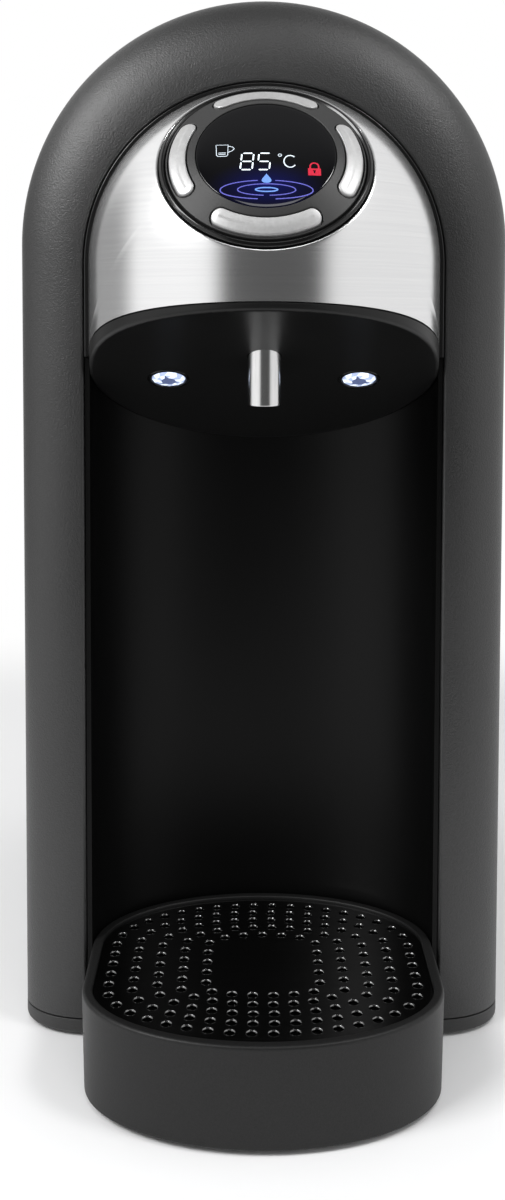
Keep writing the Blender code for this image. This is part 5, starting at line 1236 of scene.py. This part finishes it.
def ellipse(centre, across, high, first=0.0, last=360.0, count=60):
    # points from one angle to another; a whole turn leaves out the repeated point
    steps = shares(count)[:-1] if last - first >= 360 else shares(count)
    turns = [math.radians(first + (last - first) * s) for s in steps]
    return [(centre[0] + across * math.cos(t), centre[1] + high * math.sin(t)) for t in turns]


def teardrop(centre, width, height, count=32):
    half, points = width * displayForm["dropNeck"], []
    for i in range(count):
        t = math.tau * i / count
        points.append((centre[0] + half * math.sin(t) * math.sin(t / 2) ** 2,
                       centre[1] + height / 2 * math.cos(t)))
    return points


def rectangle(left, low, right, high):
    return [(left, low), (right, low), (right, high), (left, high)]


lockForm = {"top": 1.1, "low": -1.7, "half": 1.95, "hole": 0.42, "holeTop": 0.35, "slit": 0.22,
            "slitLow": -0.85, "slitTop": -0.1, "bowHalf": 1.3, "bowHigh": 1.5, "bowRise": 0.7,
            "bowSweep": (180, 0, 14), "bowStroke": 0.5}


def lockLoops():
    # body with a keyhole, in six plain blocks, and a bow over it
    form, (x, y) = lockForm, displayForm["lock"]
    half, hole, slit, bowHalf = (form[key] for key in ("half", "hole", "slit", "bowHalf"))
    top, low, holeTop, slitLow, slitTop = (y + form[key] for key in ("top", "low", "holeTop", "slitLow",
                                                                     "slitTop"))
    body = [rectangle(x - half, low, x - hole, top), rectangle(x + hole, low, x + half, top),
            rectangle(x - hole, holeTop, x + hole, top), rectangle(x - hole, low, x + hole, slitLow),
            rectangle(x - hole, slitLow, x - slit, slitTop), rectangle(x + slit, slitLow, x + hole, slitTop)]
    bow = ellipse((x, top + form["bowRise"]), bowHalf, form["bowHigh"], *form["bowSweep"])
    return body + stroke([(x - bowHalf, top), *bow, (x + bowHalf, top)], form["bowStroke"])


def lightTheLens():
    # a blue haze behind the ripples, put on the lens's own emission
    form, finish = displayForm, finishes["lens"]
    x, y = form["ripple"]
    middle = panelPlace @ Vector((x, y + form["hazeRise"], lensTop(abs(y))))
    across, upward = form["hazeReach"]
    haze = put(finish.node_tree, "ShaderNodeGroup", {
        "Middle": (middle.x * mm, frontY + middle.y * mm, middle.z * mm), "Across": (1 / across, 0, 0),
        "Upward": panelUp / upward, "Tint": form["hazeColour"]}, node_tree=groups["haze"])
    shader = shaderOf(finish)
    finish.node_tree.links.new(haze.outputs["Color"], shader.inputs["Emission Color"])
    shader.inputs["Emission Strength"].default_value = 1.0


def buildDisplay():
    form, thin, steps = displayForm, displayForm["thin"], displayForm["steps"]
    digits = []
    for character, x in zip(form["digits"], form["digitPlaces"]):
        digits += digitSegments(character, x, form["digitMiddle"])
    inlay("displayDigits", digits, "white")
    radius = form["degreeRadius"]
    signs = stroke(ellipse(form["degree"], radius, radius, count=steps["degree"]), thin, closed=True)
    letter = ellipse(form["letter"], *form["letterSize"], *form["letterSweep"], steps["letter"])
    signs += stroke(letter, form["letterStroke"])
    signs += stroke(form["cup"], thin, closed=True) + stroke(form["handle"], thin)
    for line in form["fill"]:
        signs += stroke(line, thin)
    inlay("displaySigns", signs, "pale")
    inlay("displayLock", lockLoops(), "red")
    inlay("displayDrop", [teardrop(form["drop"], *form["dropSize"])], "drop")
    centre, rings = form["ripple"], []
    outer, middle, heart = form["rippleSizes"]           # half width, half height, stroke
    for sweepAngles in form["outerSweeps"]:
        rings += stroke(ellipse(centre, *outer[:2], *sweepAngles, steps["outer"]), outer[2])
    rings += stroke(ellipse(centre, *middle[:2], *form["middleSweep"], steps["middle"]), middle[2])
    inlay("displayRipples", rings, "blue")
    core = ellipse(centre, *heart[:2], count=steps["heart"])
    inlay("displayRippleHeart", stroke(core, heart[2], closed=True), "drop")
    lightTheLens()


print("building the control panel")
buildBezel()
buildControlRing()
buildButtons()
buildLens()
buildDisplay()


# drip tray and cover

trayForm = {"low": 1.8, "footInset": 0.6, "foot": 2.8, "rim": 3.4, "ledge": 5.2, "ledgeHigh": 1.0,
            "under": 2.2, "underHigh": 3.6, "wallRise": 5.0, "floorRise": 2.2, "floorEdge": 5.4,
            "floorMiddle": 12.0, "recess": (-0.9, 158.0), "recessLow": -1.0}


def buildTray():
    form = trayForm
    floor = machine["baseTop"] + gap
    seat = machine["coverTop"] - machine["coverWall"] - gap
    top, rim, low = machine["trayTop"], form["rim"], form["low"]
    corners = [(form["foot"], floor, 0), (form["foot"], low, 0.3), (form["footInset"], low, 0.7),
               (0.0, top, 1.3), (rim, top, 0.55), (rim, seat, 0.1), (form["ledge"], seat, 0.25),
               (form["ledge"], seat - form["ledgeHigh"], 0.25),
               (form["under"], seat - form["underHigh"], 0.6),
               (form["foot"], floor + form["wallRise"], 1.5),
               (form["floorEdge"], floor + form["floorRise"], 1.8),
               (form["floorMiddle"], floor + form["floorRise"], 0)]
    tray = rawObject("trayVisual", stacked(trayPlan, rounded(corners, 5, closed=False)), finishes["tray"])
    near, far = form["recess"]                           # the base's tongue goes under the tray
    half = machine["halfWidth"]
    carve(tray, "DIFFERENCE", block((-half, near, form["recessLow"]), (half, far, floor + gap)))
    return finishPiece(tray, "tray", ["drip_tray"])


coverForm = {"holeRadius": 1.6, "pitch": 6.8, "rowSide": 8.0, "rowFront": 5.6, "marginSide": 8.3,
             "marginFront": 9.4, "dimpleRadius": 1.92, "dimpleDepth": 0.36, "sides": 20, "inset": 3.7,
             "trackSteps": 160, "leastStep": 0.01, "lipOverlap": 0.02, "lipProud": 0.03, "lipRoll": 0.12,
             "lipSkirt": 0.5}


def loopObject(name, loops):
    points, edges = [], []
    for loop in loops:
        edges += ringEdges(len(loop), len(points))
        points += [(x * mm, frontY + y * mm, 0) for x, y in loop]
    return pointsObject(name, points, edges)


def holeTracks():
    # lines parallel to the tray's outline, each begun half a pitch from the middle of the front
    form = coverForm
    curveY = machine["trayCurve"] - machine["trayReach"]
    across = machine["trayHalf"] - form["marginSide"]
    front = machine["trayCurve"] - form["marginFront"]
    back = machine["trayBack"] - form["marginFront"]
    tracks = []
    while across > form["rowSide"] / 2 and front > form["rowFront"] / 2:
        line = [(across * math.sin(math.pi * (s - 0.5)), curveY - front * math.cos(math.pi * (s - 0.5)))
                for s in shares(form["trackSteps"])]
        line += [(across * math.cos(math.pi * s), max(back, form["holeRadius"]) * math.sin(math.pi * s))
                 for s in shares(form["trackSteps"])]
        line = [a for a, b in zip(line, line[1:] + line[:1]) if math.dist(a, b) > form["leastStep"]]
        lengths = [math.dist(a, b) for a, b in zip(line, line[1:] + line[:1])]
        count = max(3, round(sum(lengths) / form["pitch"]))
        middle = min(range(len(line)), key=lambda i: math.dist(line[i], (0, curveY - front)))
        line = line[middle:] + line[:middle]
        lengths = lengths[middle:] + lengths[:middle]
        skip = sum(lengths) / count / 2
        while lengths[0] < skip:
            skip -= lengths.pop(0)
            line.append(line.pop(0))
            lengths.append(math.dist(line[-1], line[0]))
        tracks.append(line)
        across -= form["rowSide"]
        front -= form["rowFront"]
        back -= form["rowFront"]
    return tracks


def buildCover():
    form, sheet = coverForm, machine["coverWall"]
    hole, wide, deep = form["holeRadius"], form["dimpleRadius"], form["dimpleDepth"]
    outer = wide + form["lipOverlap"]
    lip = rounded([(outer, -form["lipSkirt"], 0), (outer, form["lipProud"], 0),
                   (wide - form["lipRoll"], 0, 0.1), (hole, -deep, 0.15), (hole, -sheet, 0)], 3)
    lipShape = turned([(radius, height + sheet) for radius, height in lip], form["sides"])
    lipShape.transform(Matrix.Scale(mm, 4))
    bmesh.ops.recalc_face_normals(lipShape, faces=lipShape.faces)
    helpers = [linked("holeLip", meshOf("holeLip", lipShape)), loopObject("holeTracks", holeTracks())]
    cover = loopObject("coverVisual", [trayPlan(form["inset"])])
    runTree(cover, perforatedTree(), tracks=helpers[1], lip=helpers[0], pitch=form["pitch"] * mm,
            holeRadius=wide * mm, holeSides=form["sides"], sheet=sheet * mm,
            level=(machine["coverTop"] - sheet) * mm, finish=finishes["cover"])
    remove(*helpers)
    return finishPiece(cover, "cover", ["tray_cover"])


print("building the drip tray")
buildTray()
buildCover()


# tank, lid and dock

tankForm = {"front": 158.5, "floorZ": 24.0, "wall": 2.2, "sideInset": 0.6, "corner": 3.0, "top": 283.4,
            "seat": 26.5, "outside": 6.0, "inside": 8.0, "leastCorner": 0.3, "frontSteps": 6, "rearSteps": 10,
            "outletX": 30.0, "midY": 187.25, "foot": 14.5, "neck": 9.0, "neckOverlap": 0.5, "bore": 4.1,
            "outlet": 3.1, "boreSpan": (12.0, 30.0), "sides": 48, "boreSides": 40}


def tankPlan(inset):
    form = tankForm
    front = max(form["corner"] - inset, form["leastCorner"])
    rear = machine["rearCorner"] - inset
    side = machine["halfWidth"] - form["sideInset"] - inset
    near, back = form["front"] + inset, machine["wholeDepth"] - inset
    half = [(0, near)]
    half += [(side - front * (1 - sin), near + front * (1 - cos)) for sin, cos in quarter(form["frontSteps"])]
    half += [(side - rear * (1 - cos), back - rear * (1 - sin)) for sin, cos in quarter(form["rearSteps"])]
    return bothSides(half + [(0, back)])


outletPlace = at(tankForm["outletX"], tankForm["midY"])


def buildTank():
    form = tankForm
    floor, top, wall, seat = form["floorZ"], form["top"], form["wall"], form["seat"]
    levels = rounded([(form["outside"], floor, 0), (0, floor, 1.6), (0, top, 0.3), (wall, top, 0.3),
                      (wall, seat, 1.5), (form["inside"], seat, 0)], 5, closed=False)[1:-1]
    tank = rawObject("tankVisual", stacked(tankPlan, levels), finishes["smoke"])
    neck, foot, bore, outlet = form["neck"], form["foot"], form["bore"], form["outlet"]
    root, step, (low, high) = floor + form["neckOverlap"], floor + gap, form["boreSpan"]
    nose = rounded([(0, foot, 0), (neck, foot, 0.6), (neck, root, 0), (0, root, 0)], 4, closed=False)
    carve(tank, "UNION", turned(nose, form["sides"], outletPlace))
    inside = [(0, low), (bore, low), (bore, step), (outlet, step), (outlet, high), (0, high)]
    carve(tank, "DIFFERENCE", turned(inside, form["boreSides"], outletPlace))
    return finishPiece(tank, "tank", ["water_tank"])


lidForm = {"frontRound": 1.5, "frontSteps": 4, "rearSteps": 14, "acrossSteps": 72, "skirtOut": 2.5,
           "skirtIn": 4.1, "skirtDown": 5.0, "skirtUp": 2.2, "tabHalf": 15.0, "tab": (214.9, 220.0),
           "tabHigh": 2.0, "tabRound": 2.5}


def buildLid():
    form, low = lidForm, tankForm["top"]
    bend, rear = form["frontRound"], machine["rearCorner"]
    stations = [(tankForm["front"] + bend * (1 - sin), bend * (1 - cos))
                for sin, cos in reversed(quarter(form["frontSteps"]))]
    stations += [(machine["wholeDepth"] - rear * (1 - sin), rear * (1 - cos))
                 for sin, cos in quarter(form["rearSteps"])]
    shape = bmesh.new()
    loops = []
    side = machine["halfWidth"] - tankForm["sideInset"]
    for y, inset in stations:
        outline = arch(side - inset, machine["archZ"], low - tankForm["wall"], form["acrossSteps"])
        loops.append([shape.verts.new((x, y, z)) for x, z in outline])
    for first, second in zip(loops, loops[1:]):
        for i in range(len(first) - 1):
            shape.faces.new((first[i], first[i + 1], second[i + 1], second[i]))
    shape.faces.new(loops[0])
    shape.faces.new(loops[-1])
    lid = rawObject("lidVisual", shape, finishes["smoke"])
    thicken(lid, tankForm["wall"])
    half, near, far = machine["halfWidth"], machine["depth"], form["tab"][1]
    carve(lid, "DIFFERENCE", block((-half, near, machine["archZ"]), (half, far, low + gap)))
    bottom, top = low - form["skirtDown"], low + form["skirtUp"]
    skirt = stacked(tankPlan, [(form["skirtOut"], bottom), (form["skirtOut"], top), (form["skirtIn"], top),
                               (form["skirtIn"], bottom)], wrap=True)
    reach, (near, far), bend = form["tabHalf"], form["tab"], form["tabRound"]
    tab = rounded([(-reach, near, 0), (reach, near, 0), (reach, far, bend), (-reach, far, bend)], 6)
    levels = [(0, low + gap), (0, low + gap + form["tabHigh"])]
    carve(lid, "UNION", skirt, stacked(lambda inset: tab, levels))
    return finishPiece(lid, "lid", ["tank_lid"])


dockForm = {"inside": 3.0, "wall": 2.5, "lowRound": 0.3, "topRound": 0.6, "cup": 12.3, "cupDrop": 0.5,
            "socket": 10.3, "socketFloor": 12.5, "socketOver": 2.0, "barbZ": 14.5,
            "barb": (4.0, 11.3, 40.25), "pin": (1.4, 12.0, 17.2), "glandX": -55.0,       # radius, start, end
            "glandHole": (5.3, -5.0, 2.0), "sides": 48, "barbSides": 32, "glandSides": 40, "pinSides": 24}
dockTop = tankForm["floorZ"] - gap
glandPlace = along((dockForm["glandX"], machine["wholeDepth"],
                    (machine["baseTop"] + dockTop - dockForm["wall"]) / 2), (0, 1, 0))


def dockPlan(inset):
    near = machine["depth"] + gap + inset
    half = [(0, near), (machine["halfWidth"] - inset, near)]
    return bothSides(half + rearCorner(inset) + [(0, machine["wholeDepth"] - inset)])


def buildDock():
    form, wall = dockForm, dockForm["wall"]
    floor = machine["baseTop"] + gap
    edges = rounded([(form["inside"], floor, 0), (0, floor, form["lowRound"]), (0, dockTop, form["topRound"]),
                     (form["inside"], dockTop, 0)], 4, closed=False)[1:-1]
    dock = rawObject("dockVisual", stacked(dockPlan, edges), finishes["shell"])
    carve(dock, "DIFFERENCE", stacked(dockPlan, [(wall, machine["baseTop"]), (wall, dockTop - wall)]))
    ahead = along((tankForm["outletX"], tankForm["midY"], form["barbZ"]), (0, -1, 0))
    sides, cupTop, above = form["sides"], dockTop - form["cupDrop"], dockTop + form["socketOver"]
    carve(dock, "UNION", cylinder(form["cup"], floor, cupTop, sides, outletPlace),
          cylinder(*form["barb"], form["barbSides"], ahead))
    carve(dock, "DIFFERENCE", cylinder(*form["glandHole"], form["glandSides"], glandPlace),
          cylinder(form["socket"], form["socketFloor"], above, sides, outletPlace))
    carve(dock, "UNION", cylinder(*form["pin"], form["pinSides"], outletPlace))
    return finishPiece(dock, "housing", ["tank_dock"])


glandForm = {"bore": 3.4, "body": 5.0, "flange": 6.2, "back": -4.2, "shoulder": -2.8, "face": -0.3,
             "sides": 40}


def buildGland():
    form = glandForm
    bore, body, flange = form["bore"], form["body"], form["flange"]
    profile = rounded([(bore, form["back"], 0), (flange, form["back"], 0.3), (flange, form["shoulder"], 0),
                       (body, form["shoulder"], 0), (body, form["face"], 0.4), (bore, form["face"], 0.5)], 4)
    gland = rawObject("glandVisual", turned(profile, form["sides"], glandPlace), finishes["rubber"])
    return finishPiece(gland, "housing", ["inlet_gland"])


print("building the tank")
buildTank()
buildLid()
buildDock()
buildGland()


# screws, and the nodes that keep their CAD mesh

screwForm = {"head": 3.2, "crown": 2.2, "headHigh": 1.8, "shoulder": 0.8, "shank": 1.6, "long": 11.2,
             "tip": 12.6, "crossHalf": 1.9, "crossWide": 0.35, "crossFrom": 2.2, "crossTo": 0.9,
             "baseSeat": 3.0, "topSeat": 0.9, "baseTurn": (0.5, 0.9), "topTurn": (0.7, 1.0), "sides": 32}


def screwMaster():
    form = screwForm
    head = rounded([(0, -form["headHigh"], 0), (form["crown"], -form["headHigh"], 0.6),
                    (form["head"], -form["shoulder"], 0.4), (form["head"], 0, 0), (form["shank"], 0, 0),
                    (form["shank"], form["long"], 0.4), (0, form["tip"], 0)], 3, closed=False)
    one = rawObject("screwMaster", turned(head, form["sides"]), finishes["zinc"])
    low, high = -form["crossFrom"], -form["crossTo"]
    for x, y in ((form["crossHalf"], form["crossWide"]), (form["crossWide"], form["crossHalf"])):
        carve(one, "DIFFERENCE", block((-x, -y, low), (x, y, high)))
    settle(one)
    clearTools()
    one.data.transform(Matrix.Translation((0, -frontY, 0)))     # back to its own origin for the instances
    return one


def buildScrews():
    form = screwForm
    one = screwMaster()
    places, turns = [], []
    first, each = form["baseTurn"]
    for i, (x, y) in enumerate(screwPlaces()):
        places.append((x * mm, frontY + y * mm, form["baseSeat"] * mm))
        turns.append((0, 0, first + each * i))
    first, each = form["topTurn"]
    for i, place in enumerate(topScrewPlaces()):
        seat = place @ Vector((0, 0, form["topSeat"]))
        places.append((seat.x * mm, frontY + seat.y * mm, seat.z * mm))
        turns.append((math.pi / 2, first + each * i, 0))
    screws = pointsObject("screwsVisual", places)
    turn = screws.data.attributes.new("turn", "FLOAT_VECTOR", "POINT")
    turn.data.foreach_set("vector", [value for angles in turns for value in angles])
    runTree(screws, screwTree(), screw=one, finish=finishes["zinc"])
    remove(one)
    names = ["base_screw_%d" % n for n in (1, 2, 3, 4)] + ["rear_screw_1", "rear_screw_2"]
    return finishPiece(screws, "housing", names)


kept = {
    "rear_panel": "shell", "lamp_board": "board", "display_board": "board", "main_board": "board",
    "dock_seal": "rubber", "valve_plunger": "white", "valve_seal": "rubber", "valve_spring": "bracket",
    "water_pump": "white", "pump_saddle": "rubber", "flow_meter": "white", "flow_heater": "cast",
    "heater_bracket": "bracket", "thermal_cutout_1": "white", "thermal_cutout_2": "white",
    "temperature_sensor": "bracket", "outlet_chamber": "white", "hose_dock_to_pump": "silicone",
    "hose_pump_to_meter": "silicone", "hose_meter_to_heater": "silicone", "hose_heater_to_outlet": "silicone",
}


def dressInside():
    for name, finish in kept.items():
        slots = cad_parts[name].data.materials
        if not slots:
            slots.append(finishes[finish])
        for i in range(len(slots)):
            slots[i] = finishes[finish]


buildScrews()
dressInside()
print("inner nodes dressed:", len(kept))


# floor, light and camera

studio = {
    "tableRadius": 0.50, "tableSides": 128, "tableY": 0.08, "fadeFrom": 0.27, "fadeTo": 0.47,
    "tableColour": (0.93, 0.93, 0.935, 1), "tableRoughness": 0.5, "tableGloss": 0.1,
    "roomLevel": 0.47,                   # what matt surfaces get from the room
    # what metal shows of it: dark in front, dim overhead, grey at the far left, less white on the right
    "darkLevel": 0.09, "darkTurn": 4.5, "darkFrom": 42.0, "darkTo": 26.0, "darkTop": (-0.05, -0.26),
    "topLevel": 0.30, "topSpan": (0.66, 0.94),
    "greyLevel": 0.35, "greyTurn": -122.0, "greyFrom": 36.0, "greyTo": 12.0,
    "rightLevel": 0.84, "rightSpan": (-0.2, 0.5),
}


def seenDirectly(tree, path):
    # 1 for camera and transmission rays
    return maths(tree, "MAXIMUM", path["Is Camera Ray"], path["Is Transmission Ray"])


def buildTable():
    # a round pale table that fades to the white of the room at its edge
    shape = bmesh.new()
    bmesh.ops.create_circle(shape, cap_ends=True, segments=studio["tableSides"],
                            radius=studio["tableRadius"])
    shape.transform(at(0, studio["tableY"]))
    table = linked("table", meshOf("table", shape))
    made = bpy.data.materials.new("paleTable")
    made.use_nodes = True
    tree = made.node_tree
    shader = shaderOf(made)
    shader.inputs["Base Color"].default_value = studio["tableColour"]
    shader.inputs["Roughness"].default_value = studio["tableRoughness"]
    shader.inputs["Specular IOR Level"].default_value = studio["tableGloss"]
    away = vectorMaths(tree, "DISTANCE", objectSpace(tree), (0, studio["tableY"], 0))
    fade = ramp(tree, away, studio["fadeFrom"], studio["fadeTo"])
    path = put(tree, "ShaderNodeLightPath").outputs
    shown = maths(tree, "MAXIMUM", seenDirectly(tree, path), path["Is Glossy Ray"])
    white = put(tree, "ShaderNodeEmission", {"Color": (1, 1, 1, 1)})
    mix = put(tree, "ShaderNodeMixShader", {0: maths(tree, "MULTIPLY", fade, shown), 1: shader.outputs[0],
                                            2: white.outputs[0]})
    tree.links.new(mix.outputs[0], tree.nodes["Material Output"].inputs["Surface"])
    table.data.materials.append(made)


def buildWorld():
    world = bpy.data.worlds.new("studioRoom")
    bpy.context.scene.world = world
    world.use_nodes = True
    tree = world.node_tree
    tree.nodes.clear()
    place = put(tree, "ShaderNodeTexCoord").outputs["Generated"]
    x, y, z = put(tree, "ShaderNodeSeparateXYZ", {"Vector": place}).outputs

    def toward(degrees):
        # share of the direction that points at this turn, 0 in front and 90 to the right
        turn = math.radians(degrees)
        return maths(tree, "ADD", maths(tree, "MULTIPLY", x, math.sin(turn)),
                     maths(tree, "MULTIPLY", y, -math.cos(turn)))

    aside = maths(tree, "ABSOLUTE", toward(studio["darkTurn"] + 90))
    edges = [math.sin(math.radians(studio[key])) for key in ("darkFrom", "darkTo")]
    dark = maths(tree, "MULTIPLY", ramp(tree, aside, *edges), ramp(tree, y, *studio["darkTop"]))
    edges = [math.cos(math.radians(studio[key])) for key in ("greyFrom", "greyTo")]
    shade = ramp(tree, toward(studio["greyTurn"]), *edges)
    right = ramp(tree, x, *studio["rightSpan"], 1.0, studio["rightLevel"])
    top = ramp(tree, z, *studio["topSpan"], 1.0, studio["topLevel"])
    sides = between(tree, maths(tree, "MULTIPLY", top, right), studio["greyLevel"], shade)
    seen = between(tree, sides, studio["darkLevel"], dark)
    path = put(tree, "ShaderNodeLightPath").outputs
    level = between(tree, studio["roomLevel"], seen, path["Is Glossy Ray"])
    level = between(tree, level, 1.0, seenDirectly(tree, path))
    room = put(tree, "ShaderNodeBackground", {"Color": (1, 1, 1, 1), "Strength": level})
    put(tree, "ShaderNodeOutputWorld", {"Surface": room.outputs[0]})


lampsOfStudio = {                        # place, aim, size, power, and whether metal shows it
    "softLeft": ((-0.90, -0.25, 0.45), (0, 0, 0.18), (0.9, 0.9), 0.5, False),
    "softRight": ((0.95, -0.30, 0.45), (0, 0, 0.18), (0.8, 0.9), 2.6, False),
    "highLeft": ((-0.57, -0.50, 0.78), (-0.05, -0.07, 0.32), (0.38, 0.38), 6.0, True),
    "highRight": ((0.44, -0.36, 0.86), (0, 0, 0.30), (0.20, 0.20), 2.0, True),
    "highFront": ((0.04, -0.66, 1.05), (0, -0.1, 0.03), (0.34, 0.26), 0.9, True),
    "overhead": ((0.0, 0.45, 1.15), (0, 0, 0.1), (1.1, 0.8), 2.4, False),
}


def buildLights():
    for name, (place, aim, size, power, shown) in lampsOfStudio.items():
        light = bpy.data.lights.new(name, "AREA")
        light.shape = "RECTANGLE"
        light.size, light.size_y = size
        light.energy = power
        lamp = linked(name, light)
        lamp.location = place
        lamp.visible_glossy = shown
        lamp.rotation_euler = (Vector(aim) - Vector(place)).to_track_quat("-Z", "Y").to_euler()


cameraFit = {"place": (-0.00465, -0.51865, 0.25374), "tilt": 3.25, "yaw": 0.136, "roll": -0.14,
             "focal": 1295.3, "centre": (253.35, 387.76), "image": (505, 1200), "sensor": 36.0,
             "clip": (0.01, 20.0)}


def buildCamera():
    fit = cameraFit
    tilt, yaw, roll = (math.radians(fit[key]) for key in ("tilt", "yaw", "roll"))
    forward = Vector((math.sin(yaw) * math.cos(tilt), math.cos(yaw) * math.cos(tilt), -math.sin(tilt)))
    flatRight = Vector((math.cos(yaw), -math.sin(yaw), 0))
    flatUp = flatRight.cross(forward)
    right = flatRight * math.cos(roll) - flatUp * math.sin(roll)
    up = flatRight * math.sin(roll) + flatUp * math.cos(roll)
    data = bpy.data.cameras.new("camera")
    camera = linked("camera", data)
    turn = Matrix((right, up, -forward)).transposed().to_4x4()
    camera.matrix_world = Matrix.Translation(fit["place"]) @ turn
    width, height = fit["image"]
    data.sensor_width = fit["sensor"]
    data.lens = fit["focal"] * fit["sensor"] / height
    data.shift_x = (width / 2 - fit["centre"][0]) / height
    data.shift_y = (fit["centre"][1] - height / 2) / height
    data.clip_start, data.clip_end = fit["clip"]
    bpy.context.scene.camera = camera


buildTable()
buildWorld()
buildLights()
buildCamera()
bpy.context.scene.view_settings.view_transform = "Standard"
print("studio ready")
